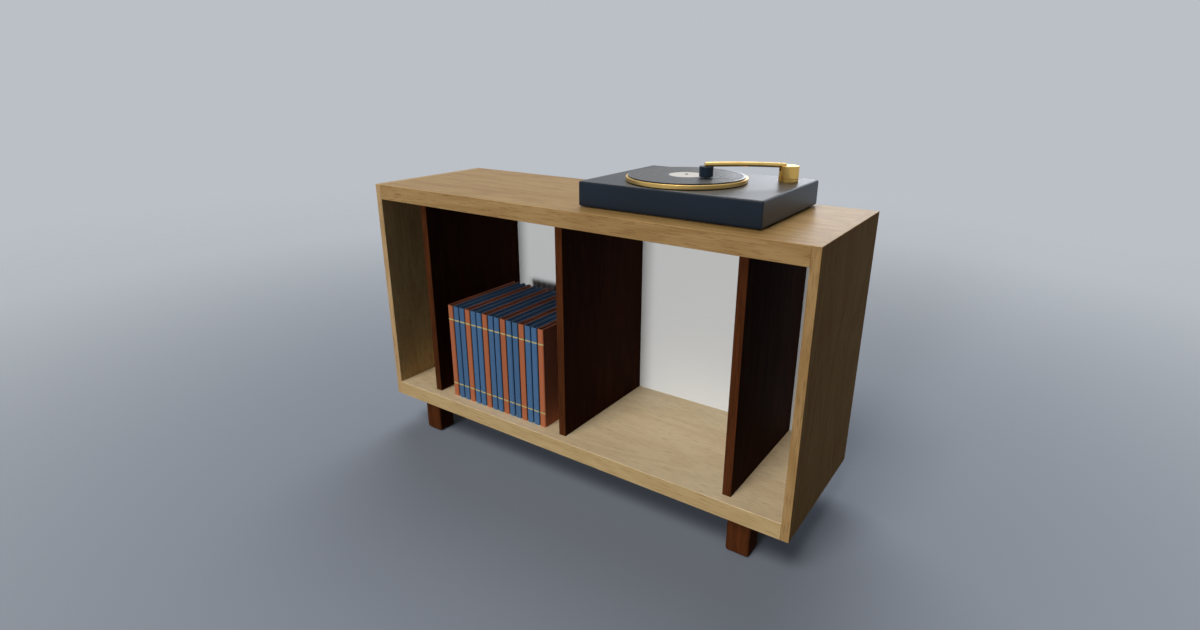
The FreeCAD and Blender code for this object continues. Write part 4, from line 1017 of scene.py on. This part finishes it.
low, high = corners("headshell")
head_height = high.z - low.z
clear_selection()
bpy.ops.mesh.primitive_cylinder_add(vertices=96, radius=HEAD_RADIUS, depth=head_height,
                                    location=(low + high) / 2)
head = name_piece(bpy.context.object, "headshell_cup")
settle(head)
pick(head, "FACE", lambda face: face.normal.z < -0.9)
bpy.ops.mesh.inset(thickness=HEAD_WALL)
bpy.ops.mesh.extrude_region_move(TRANSFORM_OT_translate={"value": (0, 0, head_height - CROWN)})
bpy.ops.object.mode_set(mode="OBJECT")
soften(head, HEAD_EDGE, 4)
clear_selection()
bpy.ops.mesh.primitive_cylinder_add(vertices=64, radius=TUBE_RADIUS + SADDLE_PLAY, depth=SADDLE_LENGTH)
saddle = name_piece(bpy.context.object, "cutter")
saddle.rotation_euler = ALONG.to_track_quat("Z", "Y").to_euler()
saddle.location = nose + ALONG * (SADDLE_PAST_NOSE - SADDLE_LENGTH / 2)
settle(saddle)
cut(head, saddle)
hand_over(head, "arm", "dark_metal", "headshell", head_lacquer)

# %% [markdown]
# ## Back of the console
# Behind, the panel is held by cross-head screws, and the record player has a pair of phono sockets and a
# power inlet. Screws and sockets are turned once and copied, and the cross is cut with two thin blocks.

# %% Turn the panel screws
SCREW = in_mm((0, 0), (2.6, 0), (3.5, -0.8), (3.5, -2), (1.75, -2), (1.75, -20), (0, -22))
SCREW_HEAD = 3.5 * MM
CROSS_LONG = 1.7 * MM
CROSS_THIN = 0.4 * MM
CROSS_DEPTH = 1.2 * MM
PANEL_SCREW_X = (-0.683, -0.523, 0.0, 0.523, 0.683)


def lay_back(piece):
    """Lay a turned piece down, so that its top points to the rear."""
    piece.rotation_euler.x = -math.pi / 2
    settle(piece)
    return piece


screw = turn("screw_model", SCREW, steps=32)
for across, along in ((CROSS_LONG, CROSS_THIN), (CROSS_THIN, CROSS_LONG)):
    cut(screw, new_block("cutter", (-across, -along, -CROSS_DEPTH), (across, along, MM)))
lay_back(screw)
low, high = corners("back_panel_screws")
screws = []
for x in PANEL_SCREW_X:
    for z in (low.z + SCREW_HEAD, high.z - SCREW_HEAD):
        screws.append(copy_piece(screw, "panel_screw", (x, high.y, z)))
discard(screw)
hand_over(join(screws, "panel_screws_cross_head"), "cabinet", "steel", "back_panel_screws", fastener_steel)

# %% Turn the sockets
SHELL = in_mm((0, -12), (3, -12), (3, 0), (6, 0), (6, 1), (5.6, 1.5), (4.1, 1.5), (4.1, 9), (3.7, 9.5),
              (3.3, 9.5), (3.3, 2), (0, 2))
INSULATOR = in_mm((1.6, 2), (3.3, 2), (3.3, 9), (1.6, 9))
FLANGE = 6 * MM
SHELL_REACH = 9.5 * MM
white_nylon = plain_coat("nylon_white", "#D8D6D0", "#CBC8C1", 1.5, 0.5, 0.03)
red_nylon = plain_coat("nylon_red", "#A8332B", "#93291F", 1.5, 0.5, 0.03)

low, high = corners("phono_sockets")
rear_wall = high.y - SHELL_REACH
shell = lay_back(turn("socket_model", SHELL, steps=64))
insulator = lay_back(turn("insulator_model", INSULATOR, steps=48, ring=True))
shells = []
for x, nylon in ((low.x + FLANGE, white_nylon), (high.x - FLANGE, red_nylon)):
    at = (x, rear_wall, (low.z + high.z) / 2)
    shells.append(copy_piece(shell, "phono_shell", at))
    ring = copy_piece(insulator, nylon.name + "_insulator", at)
    hand_over(ring, "cabinet", "drive_plastic", finish=nylon)
hand_over(join(shells, "phono_socket_shells"), "cabinet", "nickel", "phono_sockets", socket_nickel)
discard(shell, insulator)

# %% Turn the inlet
INLET = in_mm((0, -12), (5.5, -12), (5.5, 0), (6.5, 0), (6.5, 1), (6, 1.5), (3.3, 1.5), (3.1, 1.3),
              (3.1, -7.5), (0, -7.5))
low, high = corners("power_inlet")
inlet = lay_back(turn("power_inlet_socket", INLET, steps=64))
inlet.location = ((low.x + high.x) / 2, rear_wall, (low.z + high.z) / 2)
hand_over(inlet, "cabinet", "drive_plastic", "power_inlet", black_plastic)

# %% [markdown]
# ## Studio
# The floor is a wide pale disc that fades into the air with distance, so that no edge shows behind the
# console. Three far-off lamps, which Blender calls suns, light everything evenly: one high in front, one
# high behind and one low in front that reaches into the bays, each as wide as its shadows should be soft.
# Nothing shines from the right, and the floor throws less light back than the eye sees on it, so the sides
# that face right stay in shade, as in the picture. A softbox far behind, low and to the left, is mirrored
# in the right end of the top and in the lacquer. Shiny pieces mirror a pale sky.

# %% Lay the floor
FLOOR_RADIUS = 30
TONE_NEAR, TONE_FAR = 0.8, 3.6
FADE_NEAR, FADE_FAR = 1.3, 6.4


def seen_rays(tree):
    """One for rays that come to the eye straight, by a mirror or through glass, nought for others."""
    ray = add(tree, "LightPath")
    mirrored = add(tree, "Math", {0: ray.outputs["Is Camera Ray"], 1: ray.outputs["Is Glossy Ray"]})
    seen = add(tree, "Math", {0: mirrored.outputs[0], 1: ray.outputs["Is Transmission Ray"]},
               use_clamp=True)
    return seen.outputs[0]


floor = turn("studio_floor", [(0, 0), (FLOOR_RADIUS, 0)], (0, 0), 128)
paper, tree, shader, place = new_finish("studio_paper", 0.9, **{"Specular IOR Level": 0.1})
reach = add(tree, "VectorMath", {0: place}, operation="LENGTH").outputs["Value"]
outward = add(tree, "MapRange", {"Value": reach, "From Min": TONE_NEAR, "From Max": TONE_FAR})
tone = add(tree, "Mix", {0: outward.outputs[0], 6: colour("#8992A0"), 7: colour("#BAC2CD")},
           data_type="RGBA")
by_eye = add(tree, "Mix", {0: seen_rays(tree), 6: colour("#6D747F"), 7: tone.outputs[2]}, data_type="RGBA")
wire(tree, shader, {"Base Color": by_eye.outputs[2]})
fade = add(tree, "MapRange", {"Value": reach, "From Min": FADE_NEAR, "From Max": FADE_FAR},
           interpolation_type="SMOOTHSTEP")
clear = add(tree, "BsdfTransparent")
haze = add(tree, "MixShader", {0: fade.outputs[0], 1: shader.outputs[0], 2: clear.outputs[0]})
output = next(node for node in tree.nodes if node.type == "OUTPUT_MATERIAL")
wire(tree, output, {"Surface": haze.outputs[0]})
floor.data.materials.append(paper)
print("floor fades out", FADE_FAR, "m from the console")

# %% Hang the lamps


def lamp(name, kind, place, strength, tint, aim=(0, 0, 0.5), **settings):
    clear_selection()
    bpy.ops.object.light_add(type=kind, location=place)
    light = bpy.context.object
    light.name = name
    light.data.energy = strength
    light.data.color = colour(tint)[:3]
    for key, value in settings.items():
        setattr(light.data, key, value)
    light.rotation_euler = (Vector(aim) - Vector(place)).to_track_quat("-Z", "Y").to_euler()
    return light


lamp("key_lamp", "SUN", (-0.5, -4.6, 7.4), 1.35, "#FFF8EF", angle=math.radians(26))
lamp("rear_lamp", "SUN", (-1.6, 2.6, 5.0), 1.4, "#FFFBF5", angle=math.radians(40))
fill = lamp("front_fill", "SUN", (-0.12, -5.0, 1.0), 2.5, "#F6F7FF", angle=math.radians(12))
fill.visible_glossy = False
softbox = lamp("rear_softbox", "AREA", (-1.2, 10.2, 3.0), 180, "#F4F8FF", (0.4, 0, 0.85),
               shape="RECTANGLE", size=5.6, size_y=2.8)
softbox.visible_camera = False

# %% Fill the air
world = bpy.data.worlds.new("studio_air")
bpy.context.scene.world = world
world.use_nodes = True
air = world.node_tree
air.nodes.clear()
dim_air = add(air, "Background", {"Color": colour("#C6CEDA"), "Strength": 0.06})
pale_air = add(air, "Background", {"Color": colour("#BBC0C6"), "Strength": 1.0})
either = add(air, "MixShader", {0: seen_rays(air), 1: dim_air.outputs[0], 2: pale_air.outputs[0]})
add(air, "OutputWorld", {"Surface": either.outputs[0]})
bpy.context.scene.view_settings.view_transform = "Standard"
print("the air is", world.name)
